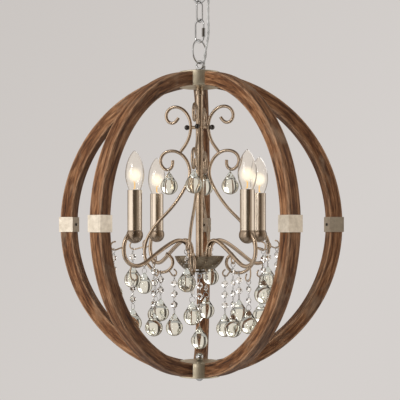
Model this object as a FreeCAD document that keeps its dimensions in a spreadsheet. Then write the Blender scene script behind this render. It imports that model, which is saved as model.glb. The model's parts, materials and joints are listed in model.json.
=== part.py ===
import FreeCAD, Part
import math
import os

from FreeCAD import Placement, Rotation, Vector

# Orb chandelier: five bentwood ribs in two halves form an open orb round a candle fixture, which
# hangs on a ring, a quick link and one chain link from a ceiling canopy. Millimetres, +Z up, the
# viewer at -Y. Heights are worked out from the middle of the orb, then lowered so that z = 0 is
# the ceiling.

doc = FreeCAD.newDocument("orb_chandelier")
sheet = doc.addObject("Spreadsheet::Sheet", "Sizes")

SIZES = [
    # wooden orb
    ("orb_radius", 265.0),  # outside of the ribs
    ("rib_depth", 24.0),
    ("rib_width", 24.0),
    ("rib_count", 5),
    ("rib_turn", -38.0),  # azimuth of the first rib, from the front towards +X
    ("rib_joint_gap", 0.4),  # between the two halves, inside the band
    ("band_height", 27.0),
    ("band_wall", 1.4),
    ("band_fit", 0.1),
    ("band_screw_head_radius", 2.6),
    ("band_screw_head_height", 1.4),
    # hubs
    ("hub_radius", 36.0),
    ("hub_height", 24.0),
    ("hub_plate_inset", 1.0),  # of the plate from the drum's edge
    ("hub_plate_height", 2.4),
    # stem and its collar of studs
    ("stem_wall", 1.5),
    ("stem_fit", 0.25),  # between the stem and the threaded pipe
    ("ferrule_wall", 1.6),
    ("ferrule_height", 7.0),
    ("ferrule_drop", 6.0),
    ("stud_height", 169.0),
    ("stud_radius", 1.5),
    ("spacer_radius", 3.0),
    ("ball_nut_radius", 4.5),
    ("stud_fit", 0.1),
    # scroll rods and lamp arms
    ("rod_radius", 2.75),
    ("rod_turn", -10.0),
    ("arm_radius", 3.5),
    ("arm_wall", 1.0),
    ("arm_turn", 36.0),
    ("hook_radius", 1.3),
    # bowl under the stem
    ("bowl_rim_gap", 0.35),  # between the rim and the scroll rods
    ("bowl_floor_radius", 27.0),
    ("bowl_belly", 3.0),  # of its side, out and down from a straight cone
    ("bowl_height", 22.5),
    ("bowl_wall", 1.5),
    ("bowl_drop", 247.0),  # from the studs down to its floor
    ("bowl_finial_radius", 5.0),
    ("bowl_finial_height", 9.0),
    ("bowl_finial_grip", 5.4),  # of the threaded pipe in the finial
    ("bowl_finial_cap_rim", 4.5),  # of its cap past the pipe
    ("bowl_finial_cap_height", 2.4),
    ("bowl_loop_radius", 3.6),
    # lamps
    ("lamp_reach", 134.0),
    ("cup_top", -11.0),
    ("cup_overhang", 1.8),  # of the ball past the sleeve
    ("cup_seat_inset", 0.4),  # of the ball's flat top from the sleeve's outside
    ("sleeve_radius", 12.2),
    ("sleeve_wall", 1.0),
    ("sleeve_height", 68.0),
    ("socket_wall", 1.65),
    ("socket_drop", 6.0),  # from the sleeve's top edge down to the socket's
    ("socket_depth", 24.0),
    ("bulb_base_radius", 5.8),
    ("bulb_base_height", 18.0),
    ("bulb_fit", 0.15),
    ("bulb_radius", 16.0),
    ("bulb_neck_gap", 1.4),  # between the glass and the sleeve
    ("bulb_seat", 1.0),  # from the socket's top up to the glass
    ("bulb_height", 66.0),  # over the sleeve's top edge
    # glass
    ("ball_radius", 15.0),
    ("ball_tip_height", 25.0),
    ("ball_tip_radius", 2.4),
    ("ball_hole_radius", 1.0),
    ("ball_hole_drop", 2.2),  # under the tip
    ("ball_ring_radius", 5.0),
    ("ball_ring_wire", 0.5),
    ("bead_across_flats", 11.5),
    ("bead_thickness", 6.0),
    ("bead_table_share", 0.5),
    ("bead_edge", 0.8),  # thickness of its rim
    ("bead_hole_radius", 0.6),
    ("pin_showing", 7.0),  # of the wire, between two beads
    ("strand_ring_radius", 4.2),
    ("strand_ring_wire", 0.6),
    ("strand_pin_radius", 0.5),
    ("ring_room", 1.6),  # pin between a ring and the nearest bead
    ("strand_clearance", 3.0),  # from a ball drop to the ribs and the bottom nut
    # suspension
    ("hang_gap", 0.3),
    ("eye_wire", 1.75),
    ("eye_radius", 6.5),
    ("collar_radius", 8.5),
    ("collar_height", 5.0),
    ("collar_grip", 4.0),  # of the threaded pipe in the collar
    ("inlet_wall", 0.45),
    ("inlet_reach", 7.6),
    ("inlet_height", 6.0),
    ("ring_wire", 1.5),
    ("ring_radius", 20.2),
    ("quick_wire", 1.75),
    ("quick_half_width", 8.6),
    ("quick_length", 39.2),
    ("quick_gap", 4.0),
    ("quick_gap_rise", 1.4),  # from the start of the straight side to the gap
    ("sleeve_nut_radius", 3.3),
    ("sleeve_nut_height", 15.0),
    ("sleeve_nut_fit", 0.05),
    ("sleeve_nut_lap", 1.2),  # of the screw sleeve over the side under the gap
    ("link_wire", 1.6),
    ("link_half_width", 8.4),
    ("link_length", 36.8),
    ("chain_turn", 55.0),  # angle of the ring's and the chain link's plane from +X
    ("top_eye_radius", 13.5),
    ("top_eye_rise", 0.5),  # from the circle of its wire up to its collar
    ("top_collar_radius", 11.0),
    ("top_collar_height", 10.5),
    ("top_collar_floor", 3.15),  # left under the nipple's thread
    # canopy and ceiling bracket
    ("canopy_room", 4.25),  # from the bracket's corners to the canopy's inside
    ("canopy_height", 35.0),
    ("canopy_wall", 1.0),
    ("canopy_edge", 6.0),
    ("bracket_end", 7.55),  # from a screw hole to the end of the bar
    ("bracket_width", 20.0),
    ("bracket_thickness", 2.5),
    ("bracket_hole_spacing", 88.9),
    ("bracket_hole_radius", 2.25),
    ("nipple_radius", 4.75),
    ("nipple_bore", 3.2),
    ("nipple_fit", 0.1),
    ("nipple_below_ceiling", 0.2),
    # supply cord
    ("cord_radius", 2.4),
    ("cord_fit", 0.35),
    ("cord_hole_room", 0.6),
    ("cord_hole_reach", 15.0),
    ("cord_tail", 6.0),  # of the cord inside the canopy
    # bolt through the bottom hub
    ("bottom_nut_radius", 7.5),
    ("finial_radius", 7.0),
    ("finial_height", 8.5),
    ("bottom_bolt_radius", 2.5),
]
for row, (alias, number) in enumerate(SIZES, start=1):
    sheet.set(f"A{row}", str(number))
    sheet.setAlias(f"A{row}", alias)
doc.recompute()


def cell(alias):
    return float(sheet.get(alias))


orb_radius = cell("orb_radius")
rib_depth, rib_width = cell("rib_depth"), cell("rib_width")
rib_count = int(cell("rib_count"))
rod_radius, arm_radius = cell("rod_radius"), cell("arm_radius")
hook_radius = cell("hook_radius")
hang_gap = cell("hang_gap")

WELD = 0.4  # how far a loop's wire sinks into what it is welded on
BALL_FLAT = 0.86  # of a ball nut's radius, from its middle to the face it bears on

# Heights of the suspension, counted up from the top hub. A loop that hangs on another has its own
# wire over the other's wire, hang_gap away.
hub_top = orb_radius
eye_level = hub_top + cell("collar_height") + cell("eye_radius") + cell("eye_wire") - WELD
eye_top = eye_level + cell("eye_radius")
ring_bottom = eye_top - cell("eye_wire") - cell("ring_wire") - hang_gap
ring_level = ring_bottom + cell("ring_radius")
ring_top = ring_level + cell("ring_radius")
quick_bottom = ring_top - cell("ring_wire") - cell("quick_wire") - hang_gap
quick_top = quick_bottom + cell("quick_length")
link_bottom = quick_top - cell("quick_wire") - cell("link_wire") - hang_gap
link_top = link_bottom + cell("link_length")
top_eye_bottom = link_top - cell("link_wire") - cell("eye_wire") - hang_gap
top_eye_level = top_eye_bottom + cell("top_eye_radius")
top_collar_bottom = top_eye_level + cell("top_eye_radius") + cell("top_eye_rise")
canopy_bottom = top_collar_bottom + cell("top_collar_height")
ceiling = canopy_bottom + cell("canopy_height")

parts = []


def at(x=0.0, y=0.0, z=0.0, turn=0.0):
    """A place at height z above the middle of the orb, turned about the vertical."""
    return Placement(Vector(x, y, z - ceiling), Rotation(Vector(0, 0, 1), turn))


def primitive(kind, name, sizes, place):
    obj = doc.addObject("Part::" + kind, name)
    for prop, expression in sizes.items():
        obj.setExpression(prop, expression)
    obj.Placement = place
    return obj


def cut(name, base, *tools):
    for number, tool in enumerate(tools):
        joined = doc.addObject("Part::Cut", f"{name}_cut{number}")
        joined.Base, joined.Tool = base, tool
        base = joined
    return base


def fuse(name, *pieces):
    joined = doc.addObject("Part::MultiFuse", name + "_fuse")
    joined.Shapes = list(pieces)
    return joined


def keep(obj, label):
    """Names a finished sub-part; its label is its file's name."""
    obj.Label = label
    parts.append(obj)
    return obj


def keep_shape(label, shape):
    """A sub-part whose shape is worked out here, in the frame of the orb's middle."""
    obj = doc.addObject("Part::Feature", label + "_solid")
    obj.Shape = shape
    obj.Placement = at()
    return keep(obj, label)


def azimuth(turn):
    """The horizontal direction at this azimuth: 0 is the front (-Y), 90 is +X."""
    angle = math.radians(turn)
    return Vector(math.sin(angle), -math.cos(angle), 0)


def sideways(turn):
    """The horizontal direction a quarter turn on from an azimuth."""
    return Vector(0, 0, 1).cross(azimuth(turn))


def in_plane(turn, reach, height):
    return azimuth(turn) * reach + Vector(0, 0, height)


def bend_radius(before, corner, after):
    """The largest arc that both runs at a corner leave room for."""
    back, ahead = before - corner, after - corner
    half_turn = (math.pi - back.getAngle(ahead)) / 2
    return 0.45 * min(back.Length, ahead.Length) / math.tan(half_turn)


def bent_path(points):
    """Straight runs between the points, joined by tangent arcs as large as the runs allow."""
    edges, start = [], points[0]
    for before, corner, after in zip(points, points[1:], points[2:]):
        back, ahead = before - corner, after - corner
        room = 0.45 * min(back.Length, ahead.Length)
        back.normalize()
        ahead.normalize()
        enter, leave = corner + back * room, corner + ahead * room
        half_turn = (math.pi - back.getAngle(ahead)) / 2
        inward = back + ahead
        inward.normalize()
        radius = room / math.tan(half_turn)
        centre = corner + inward * (radius / math.cos(half_turn))
        middle = centre - inward * radius
        edges.append(Part.LineSegment(start, enter).toShape())
        edges.append(Part.Arc(enter, middle, leave).toShape())
        start = leave
    edges.append(Part.LineSegment(start, points[-1]).toShape())
    return Part.Wire(edges)


def tube(points, radius):
    """A round bar along a bent path."""
    path = bent_path(points)
    along = points[1] - points[0]
    section = Part.Wire(Part.makeCircle(radius, points[0], along))
    return path.makePipeShell([section], True, False)


def revolved(profile):
    """A solid turned about the Z axis from (radius, height) corners and arcs of three points."""
    edges = []
    for piece in profile:
        corners = [Vector(r, 0, z) for r, z in piece]
        if len(corners) == 3:
            edges.append(Part.Arc(*corners).toShape())
        else:
            edges.append(Part.LineSegment(*corners).toShape())
    face = Part.Face(Part.Wire(edges))
    return face.revolve(Vector(0, 0, 0), Vector(0, 0, 1), 360)


def outline(corners):
    """Straight edges round a closed (radius, height) outline, as revolved() takes them."""
    return list(zip(corners, corners[1:] + corners[:1]))


def torus(radius, wire, centre, normal):
    return Part.makeTorus(radius, wire, centre, normal, 0, 360)


def around(shape, turns):
    """Copies of a shape made at azimuth 0, one at each of these azimuths."""
    copies = []
    for turn in turns:
        copy = shape.copy()
        copy.rotate(Vector(0, 0, 0), Vector(0, 0, 1), turn)
        copies.append(copy)
    return copies


def slab(low, high):
    """A block wider than the whole object between two heights, to cut or to keep with."""
    width = 4 * orb_radius
    return Part.makeBox(width, width, high - low, Vector(-width / 2, -width / 2, low))


rib_turns = [cell("rib_turn") + 360 / rib_count * n for n in range(rib_count)]
arm_turns = [cell("arm_turn") + 90 * n for n in range(4)]
rod_turns = [cell("rod_turn") + 90 * n for n in range(4)]

# ---- wooden ribs: a square section bent to the orb's radius, in an upper and a lower half
rib_inner = orb_radius - rib_depth
half_gap = cell("rib_joint_gap") / 2


def rib_half(side):
    corner = Vector(-rib_width / 2, -orb_radius, 0)
    square = Part.makePlane(rib_width, rib_depth, corner, Vector(0, 0, 1))
    bend = square.revolve(Vector(0, 0, 0), Vector(1, 0, 0), -90 * side)
    core = Part.makeCylinder(cell("hub_radius"), 4 * orb_radius, Vector(0, 0, -2 * orb_radius))
    return bend.cut(core).cut(slab(-half_gap, half_gap))


for side, label in ((1, "ribs_upper"), (-1, "ribs_lower")):
    keep_shape(label, Part.makeCompound(around(rib_half(side), rib_turns)))

# ---- metal bands that sleeve the joint of each rib, with a screw on the inner face
band_slack = cell("band_fit")
curve_room = orb_radius - math.sqrt(orb_radius**2 - (cell("band_height") / 2) ** 2)
band_out = orb_radius + band_slack
band_in = rib_inner - curve_room - band_slack
band_half = rib_width / 2 + band_slack
wall = cell("band_wall")


def band_box(grow):
    low = Vector(-band_half - grow, -band_out - grow, -cell("band_height") / 2)
    return Part.makeBox(
        2 * (band_half + grow), band_out - band_in + 2 * grow, cell("band_height"), low
    )


screw_bore = Part.makeCylinder(
    cell("stud_radius") + cell("stud_fit"), 3 * wall, Vector(0, -band_in - wall, 0), Vector(0, 1, 0)
)
band = band_box(wall).cut(band_box(0)).cut(screw_bore)
keep_shape("rib_bands", Part.makeCompound(around(band, rib_turns)))

screw_head = Part.makeCylinder(
    cell("band_screw_head_radius"),
    cell("band_screw_head_height"),
    Vector(0, -band_in + wall, 0),
    Vector(0, 1, 0),
)
screw_shank = Part.makeCylinder(
    cell("stud_radius"), wall + band_slack, Vector(0, -band_in - band_slack, 0), Vector(0, 1, 0)
)
band_screw = screw_head.fuse(screw_shank)
keep_shape("band_screws", Part.makeCompound(around(band_screw, rib_turns)))

# ---- hubs: a drum that the square-cut rib ends butt on, with a thin plate on its inner side
stem_radius = cell("nipple_radius") + cell("stem_fit") + cell("stem_wall")


def hub(label, side, bore):
    drum_base = orb_radius - cell("hub_height") if side > 0 else -orb_radius
    plate_base = drum_base - cell("hub_plate_height") if side > 0 else drum_base + cell("hub_height")
    drum = primitive(
        "Cylinder",
        label + "_drum",
        {"Radius": "Sizes.hub_radius", "Height": "Sizes.hub_height"},
        at(z=drum_base),
    )
    plate = primitive(
        "Cylinder",
        label + "_plate",
        {"Radius": "Sizes.hub_radius - Sizes.hub_plate_inset", "Height": "Sizes.hub_plate_height"},
        at(z=plate_base),
    )
    hole = primitive(
        "Cylinder",
        label + "_bore",
        {"Radius": bore, "Height": "2 * (Sizes.hub_height + Sizes.hub_plate_height)"},
        at(z=min(drum_base, plate_base) - cell("hub_height") / 2),
    )
    keep(cut(label, fuse(label, drum, plate), hole), label)


hub("top_hub", 1, "Sizes.nipple_radius + Sizes.nipple_fit")
hub("bottom_hub", -1, "Sizes.bottom_bolt_radius + Sizes.nipple_fit")

# ---- stem: a tube from the top hub's plate down to the bowl's floor, on a threaded pipe
plate_under = orb_radius - cell("hub_height") - cell("hub_plate_height")
bowl_base = cell("stud_height") - cell("bowl_drop")
bowl_floor = bowl_base + cell("bowl_wall")
stem_span = "Sizes.orb_radius - Sizes.hub_height - Sizes.hub_plate_height"
stem_span += " - Sizes.stud_height + Sizes.bowl_drop - Sizes.bowl_wall"
stem_inside = "Sizes.nipple_radius + Sizes.stem_fit"
stem_outside = stem_inside + " + Sizes.stem_wall"
stem_outer = primitive(
    "Cylinder",
    "stem_outer",
    {"Radius": stem_outside, "Height": stem_span},
    at(z=bowl_floor),
)
stem_bore = primitive(
    "Cylinder",
    "stem_bore",
    {"Radius": stem_inside, "Height": stem_span},
    at(z=bowl_floor),
)
ferrule = primitive(
    "Cylinder",
    "stem_ferrule",
    {"Radius": stem_outside + " + Sizes.ferrule_wall", "Height": "Sizes.ferrule_height"},
    at(z=plate_under - cell("ferrule_drop") - cell("ferrule_height")),
)
keep(cut("stem", fuse("stem", stem_outer, ferrule), stem_bore), "stem")

# ---- threaded pipe that clamps the fixture together, from the top collar to the bowl's finial
pipe_bottom = bowl_base - cell("bowl_finial_grip")
pipe_top = hub_top + cell("collar_grip")
pipe = Part.makeCylinder(
    cell("nipple_radius"), pipe_top - pipe_bottom, Vector(0, 0, pipe_bottom)
).cut(Part.makeCylinder(cell("nipple_bore"), pipe_top - pipe_bottom, Vector(0, 0, pipe_bottom)))
keep_shape("threaded_pipe", pipe)

# ---- scroll rods: an upper scroll welded on a lower one, bent from round bar, as (reach, height
# over the stud that holds the rod)
UPPER_SCROLL = [
    (37.2, 17.5), (41.5, 10.0), (49.0, 6.6), (56.5, 10.6), (60.0, 19.0), (58.4, 28.0),
    (52.0, 34.8), (42.9, 37.4), (31.5, 34.0), (22.4, 25.2), (16.9, 14.0), (15.4, 3.0),
    (16.2, -8.0), (18.8, -19.4), (24.6, -30.8), (33.6, -42.0),
]  # fmt: skip
LOWER_SCROLL = [
    (47.9, -57.0), (46.6, -67.2), (54.0, -75.6), (64.0, -72.2), (70.0, -62.0), (69.2, -51.0),
    (62.0, -42.6), (49.1, -39.4), (35.4, -43.2), (24.6, -53.2), (18.2, -66.6), (16.4, -81.0),
    (20.8, -96.0), (28.6, -110.4), (39.0, -127.0), (53.0, -144.4), (69.4, -160.0), (83.6, -176.2),
    (93.8, -193.4), (98.6, -209.6), (98.4, -225.6), (93.6, -238.2), (85.0, -248.2), (75.0, -253.6),
    (64.0, -253.6), (54.6, -250.2), (47.8, -242.0), (46.6, -232.4), (51.0, -224.6), (59.6, -220.0),
]  # fmt: skip
CURL_AT_BOWL = 46.6  # the lower scroll's least reach beside the bowl
STUD_REACH = 15.6  # where the upper scroll passes the stud, at its nearest to the stem


def from_stud(route):
    return [(reach, cell("stud_height") + height) for reach, height in route]


def scroll_rod(turn):
    upper = tube([in_plane(turn, r, z) for r, z in from_stud(UPPER_SCROLL)], rod_radius)
    lower = tube([in_plane(turn, r, z) for r, z in from_stud(LOWER_SCROLL)], rod_radius)
    bore = Part.makeCylinder(
        cell("stud_radius") + cell("stud_fit"),
        4 * rod_radius,
        in_plane(turn, STUD_REACH - 2 * rod_radius, cell("stud_height")),
        azimuth(turn),
    )
    return upper.fuse(lower).cut(bore)


keep_shape("scroll_rods", Part.makeCompound([scroll_rod(turn) for turn in rod_turns]))

# ---- studs that hold the rods to the stem: spacers, threaded studs and dark ball nuts
spacer_start = stem_radius
spacer_length = STUD_REACH - rod_radius - spacer_start
nut_start = STUD_REACH + rod_radius + cell("stud_fit")


def along_stud(turn, start, length, radius):
    return Part.makeCylinder(
        radius, length, in_plane(turn, start, cell("stud_height")), azimuth(turn)
    )


def stud(turn):
    """A turned stud: a thick spacer against the stem, then a thread through the rod."""
    tip = nut_start + cell("ball_nut_radius")
    thick = along_stud(turn, 0, spacer_start + spacer_length, cell("spacer_radius"))
    stem = Part.makeCylinder(stem_radius, 2 * orb_radius, Vector(0, 0, -orb_radius))
    return thick.fuse(along_stud(turn, 0, tip, cell("stud_radius"))).cut(stem)


def ball_nut(turn):
    radius = cell("ball_nut_radius")
    ball = Part.makeSphere(radius, in_plane(turn, nut_start + BALL_FLAT * radius, cell("stud_height")))
    inner = along_stud(turn, 0, nut_start, 2 * radius)
    bore = along_stud(turn, nut_start - radius, 2.1 * radius, cell("stud_radius"))
    return ball.cut(inner).cut(bore)


keep_shape("rod_studs", Part.makeCompound([stud(turn) for turn in rod_turns]))
keep_shape("ball_nuts", Part.makeCompound([ball_nut(turn) for turn in rod_turns]))

# ---- bowl: a spun dish that the arms stand in, closed below by a finial with a loop
rim = CURL_AT_BOWL - rod_radius - cell("bowl_rim_gap")
floor_radius = cell("bowl_floor_radius")
bowl_top = bowl_base + cell("bowl_height")
bowl_wall = cell("bowl_wall")
pipe_hole = cell("nipple_radius") + cell("nipple_fit")
belly = (floor_radius + rim) / 2 + cell("bowl_belly")
belly_level = (bowl_base + bowl_top) / 2 - cell("bowl_belly")
rim_inside = rim - bowl_wall * 1.3  # the wall is cut level, so its edge is wider than the wall
belly_inside = (belly - bowl_wall, belly_level + bowl_wall * 0.6)
bowl_profile = [
    ((pipe_hole, bowl_base), (floor_radius, bowl_base)),
    ((floor_radius, bowl_base), (belly, belly_level), (rim, bowl_top)),
    ((rim, bowl_top), (rim_inside, bowl_top)),
    ((rim_inside, bowl_top), belly_inside, (floor_radius, bowl_base + bowl_wall)),
    ((floor_radius, bowl_base + bowl_wall), (pipe_hole, bowl_base + bowl_wall)),
    ((pipe_hole, bowl_base + bowl_wall), (pipe_hole, bowl_base)),
]
keep_shape("bowl", revolved(bowl_profile))

finial_radius, finial_height = cell("bowl_finial_radius"), cell("bowl_finial_height")
cap_radius = cell("nipple_radius") + cell("bowl_finial_cap_rim")
cap_under = bowl_base - cell("bowl_finial_cap_height")
bowl_cap = revolved(
    outline(
        [
            (0, bowl_base - finial_height),
            (finial_radius, bowl_base - finial_height),
            (finial_radius, bowl_base - finial_height * 0.85),
            (cap_radius, cap_under),
            (cap_radius, bowl_base),
            (0, bowl_base),
        ]
    )
)
pipe_socket = Part.makeCylinder(cell("nipple_radius"), bowl_base - pipe_bottom, Vector(0, 0, pipe_bottom))
bowl_loop_level = bowl_base - finial_height - cell("bowl_loop_radius") + WELD
bowl_loop_bottom = bowl_loop_level - cell("bowl_loop_radius")
bowl_loop = torus(cell("bowl_loop_radius"), hook_radius, Vector(0, 0, bowl_loop_level), Vector(0, 1, 0))
keep_shape("bowl_finial", bowl_cap.fuse(bowl_loop).cut(pipe_socket))

# ---- lamp arms: bent tube from the bowl's floor, over its rim, down, out and up to the cup
ARM_RISE = [(0.0, 0.0), (0.0, 18.5), (0.9, 33.5)]  # out from its foot, up from the bowl's floor
ARM_SPAN = [
    (0.058, 44.9), (0.164, 49.5), (0.289, 47.5), (0.476, 35.9), (0.632, 24.5), (0.773, 13.5),
    (0.886, 6.9),
]  # fmt: skip, share of the way to the lamp's axis, up from the bowl's floor
ARM_END = [
    (-0.6, -60.0), (11.4, -55.6), (19.6, -46.0), (22.4, -33.6), (21.0, -20.6), (16.0, -8.8),
    (7.0, -3.6),
]  # fmt: skip, out from the lamp's axis, up from the cup's top
ARM_FOOT_MARGIN = 2.0  # between an arm and the edge of the bowl's floor
lamp_reach = cell("lamp_reach")
cup_top = cell("cup_top")
sleeve_radius, sleeve_height = cell("sleeve_radius"), cell("sleeve_height")
cup_radius = sleeve_radius + cell("cup_overhang")
seat_radius = sleeve_radius - cell("cup_seat_inset")
cup_centre = cup_top - math.sqrt(cup_radius**2 - seat_radius**2)
arm_foot = floor_radius - arm_radius - ARM_FOOT_MARGIN


def from_lamp(route):
    return [(lamp_reach + reach, cup_top + height) for reach, height in route]


def arm_route():
    rise = [(arm_foot + reach, bowl_floor + height) for reach, height in ARM_RISE]
    span = [
        (arm_foot + share * (lamp_reach - arm_foot), bowl_floor + height)
        for share, height in ARM_SPAN
    ]
    return rise + span + from_lamp(ARM_END)


def lamp_arm(turn):
    points = [in_plane(turn, r, z) for r, z in arm_route()]
    ball = Part.makeSphere(cup_radius, in_plane(turn, lamp_reach, cup_centre))
    bar = tube(points, arm_radius)
    return bar.cut(tube(points, arm_radius - cell("arm_wall"))).cut(ball)


keep_shape("lamp_arms", Part.makeCompound([lamp_arm(turn) for turn in arm_turns]))

# ---- lamps: ball cup, candle sleeve, socket and bulb, each a group of four
def lamp_group(label, shape):
    copies = []
    for turn in arm_turns:
        copy = shape.copy()
        copy.translate(azimuth(turn) * lamp_reach)
        copies.append(copy)
    keep_shape(label, Part.makeCompound(copies))


cup = Part.makeSphere(cup_radius, Vector(0, 0, cup_centre))
lamp_group("lamp_cups", cup.common(slab(cup_centre - cup_radius, cup_top)))

sleeve = Part.makeCylinder(sleeve_radius, sleeve_height, Vector(0, 0, cup_top)).cut(
    Part.makeCylinder(sleeve_radius - cell("sleeve_wall"), sleeve_height, Vector(0, 0, cup_top))
)
lamp_group("candle_sleeves", sleeve)

sleeve_top = cup_top + sleeve_height
socket_top = sleeve_top - cell("socket_drop")
socket_floor = socket_top - cell("socket_depth")
socket_bore = cell("bulb_base_radius") + cell("bulb_fit")
socket_body = Part.makeCylinder(
    socket_bore + cell("socket_wall"), socket_top - cup_top, Vector(0, 0, cup_top)
)
socket = socket_body.cut(
    Part.makeCylinder(socket_bore, cell("socket_depth"), Vector(0, 0, socket_floor))
)
lamp_group("lamp_sockets", socket)

bulb_base, bulb_widest = cell("bulb_base_radius"), cell("bulb_radius")
neck = sleeve_radius - cell("sleeve_wall") - cell("bulb_neck_gap")
bulb_low = socket_top - cell("bulb_base_height")
shoulder = socket_top + cell("bulb_seat")
neck_start = (shoulder + sleeve_top) / 2
bulb_height = cell("bulb_height")
bulb_top = sleeve_top + bulb_height
wide_level, tip_level = sleeve_top + bulb_height * 0.39, sleeve_top + bulb_height * 0.75
tip_radius_of_bulb = bulb_widest * 0.56
bulb_profile = [
    ((0, bulb_low), (bulb_base, bulb_low)),
    ((bulb_base, bulb_low), (bulb_base, shoulder)),
    ((bulb_base, shoulder), (neck, neck_start)),
    ((neck, neck_start), (neck, sleeve_top)),
    ((neck, sleeve_top), (bulb_widest * 0.91, (sleeve_top + wide_level) / 2), (bulb_widest, wide_level)),
    ((bulb_widest, wide_level), (bulb_widest * 0.89, (wide_level + tip_level) / 2 + 1.0),
     (tip_radius_of_bulb, tip_level)),
    ((tip_radius_of_bulb, tip_level), (0, bulb_top)),
    ((0, bulb_top), (0, bulb_low)),
]  # fmt: skip
lamp_group("bulbs", revolved(bulb_profile))

# ---- hooks of thin wire that the strands hang on, welded to the rods, as (reach, height over the
# stud), and to the arms, as (reach past the lamp's axis, height over the cup's top)
ROD_SIDE_HOOK = [
    (98.0, -208.6), (106.0, -210.0), (113.0, -212.6), (119.6, -213.6), (124.8, -210.0), (125.2, -204.0),
    (121.6, -199.6), (115.6, -199.2),
]  # fmt: skip
ROD_FOOT_HOOK = [
    (55.6, -249.4), (52.0, -253.0), (49.6, -258.0), (44.8, -260.6), (40.2, -256.6), (40.8, -250.6),
    (45.8, -247.6),
]  # fmt: skip
ARM_SIDE_HOOK = [
    (22.4, -27.6), (29.0, -29.0), (35.0, -31.6), (41.6, -32.6), (46.8, -29.0), (47.2, -23.0),
    (43.6, -18.6), (37.6, -18.2),
]  # fmt: skip
ARM_FOOT_HOOK = [
    (6.4, -57.6), (9.0, -67.0), (8.8, -77.0), (3.6, -84.4), (-3.6, -83.6), (-6.0, -77.0),
    (-1.6, -71.8),
]  # fmt: skip
ARM_SLOPE_EYE = [
    (-42.4, -40.6), (-43.6, -47.6), (-42.4, -53.4), (-38.4, -56.2), (-34.4, -53.8), (-33.0, -48.6),
    (-34.4, -45.8),
]  # fmt: skip


def lowest(route):
    """Where a ring settles on a hook: the reach and the height of its lowest stretch."""
    reach, height = min(route, key=lambda point: point[1])
    index = route.index((reach, height))
    before, after = route[index - 1], route[index + 1]
    return reach, (height + (before[1] + after[1]) / 2) / 2 + (height - before[1]) * 0.05


def low_run(route):
    """The middle of a route's level lowest run."""
    height = min(height for reach, height in route)
    reaches = [reach for reach, level in route if level == height]
    return sum(reaches) / len(reaches), height


def hooks(carrier_route, carrier_radius, turn, routes):
    """Thin wires that start in a carrier's bar, each cut off at the bar's surface."""
    carrier = tube([in_plane(turn, r, z) for r, z in carrier_route], carrier_radius)
    return [
        tube([in_plane(turn, r, z) for r, z in route], hook_radius).cut(carrier) for route in routes
    ]


rod_side_hook, rod_foot_hook = from_stud(ROD_SIDE_HOOK), from_stud(ROD_FOOT_HOOK)
arm_side_hook, arm_foot_hook = from_lamp(ARM_SIDE_HOOK), from_lamp(ARM_FOOT_HOOK)
arm_slope_eye = from_lamp(ARM_SLOPE_EYE)
front_arms = [arm_turns[0], arm_turns[3]]
side_rods = [rod_turns[1], rod_turns[3]]
arm_hooks, rod_hooks = [], []
for turn in arm_turns:
    routes = [arm_side_hook, arm_foot_hook] + [arm_slope_eye] * (turn in front_arms)
    arm_hooks += hooks(arm_route(), arm_radius, turn, routes)
for turn in rod_turns:
    routes = [rod_side_hook] + [rod_foot_hook] * (turn in side_rods)
    rod_hooks += hooks(from_stud(LOWER_SCROLL), rod_radius, turn, routes)
keep_shape("arm_hooks", Part.makeCompound(arm_hooks))
keep_shape("rod_hooks", Part.makeCompound(rod_hooks))

# ---- glass strands: a ring over the hook, beads on a pin, and a ball drop on a ring of its own
ball_radius = cell("ball_radius")
tip_height, tip_radius = cell("ball_tip_height"), cell("ball_tip_radius")
ball_ring, ball_wire = cell("ball_ring_radius"), cell("ball_ring_wire")
hole_level = tip_height - cell("ball_hole_drop")
bead_half = cell("bead_across_flats") / 2
pin_showing = cell("pin_showing")
bead_pitch = 2 * bead_half + pin_showing
strand_ring, strand_wire = cell("strand_ring_radius"), cell("strand_ring_wire")
pin_radius = cell("strand_pin_radius")
ring_room = cell("ring_room")
bottom_plate_top = -orb_radius + cell("hub_height") + cell("hub_plate_height")
bottom_nut_radius = cell("bottom_nut_radius")
nut_centre = bottom_plate_top + bottom_nut_radius * BALL_FLAT
bottom_nut_top = nut_centre + bottom_nut_radius


def ball_drop(centre, turn):
    """A solid glass ball drawn up into a cone with a cross hole in its tip."""
    lean = math.asin((ball_radius - tip_radius) / tip_height)
    touch = (ball_radius * math.cos(lean), ball_radius * math.sin(lean))
    body = revolved(
        [
            ((0, -ball_radius), (ball_radius, 0), touch),
            (touch, (tip_radius, tip_height)),
            ((tip_radius, tip_height), (0, tip_height)),
            ((0, tip_height), (0, -ball_radius)),
        ]
    )
    side = sideways(turn)
    bore = Part.makeCylinder(
        cell("ball_hole_radius"), 4 * tip_radius, Vector(0, 0, hole_level) - side * 2 * tip_radius, side
    )
    body = body.cut(bore)
    body.translate(centre)
    return body


def octagon(half, turn, out):
    """A closed octagonal outline, half across the flats, facing an azimuth and that far out."""
    corner = half / math.cos(math.pi / 8)
    side = sideways(turn)
    points = []
    for number in range(9):
        angle = math.pi / 8 + number * math.pi / 4
        flat = side * (corner * math.cos(angle)) + Vector(0, 0, corner * math.sin(angle))
        points.append(flat + azimuth(turn) * out)
    return Part.makePolygon(points)


def bead(centre, turn):
    """A flat octagonal crystal, bevelled to a small table on both faces, bored for its pin."""
    half_thick, half_edge = cell("bead_thickness") / 2, cell("bead_edge") / 2
    table = bead_half * cell("bead_table_share")
    rims = [(table, -half_thick), (bead_half, -half_edge), (bead_half, half_edge), (table, half_thick)]
    body = Part.makeLoft([octagon(half, turn, out) for half, out in rims], True, True)
    bore = Part.makeCylinder(cell("bead_hole_radius"), 4 * bead_half, Vector(0, 0, -2 * bead_half))
    body = body.cut(bore)
    body.translate(centre)
    return body


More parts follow.
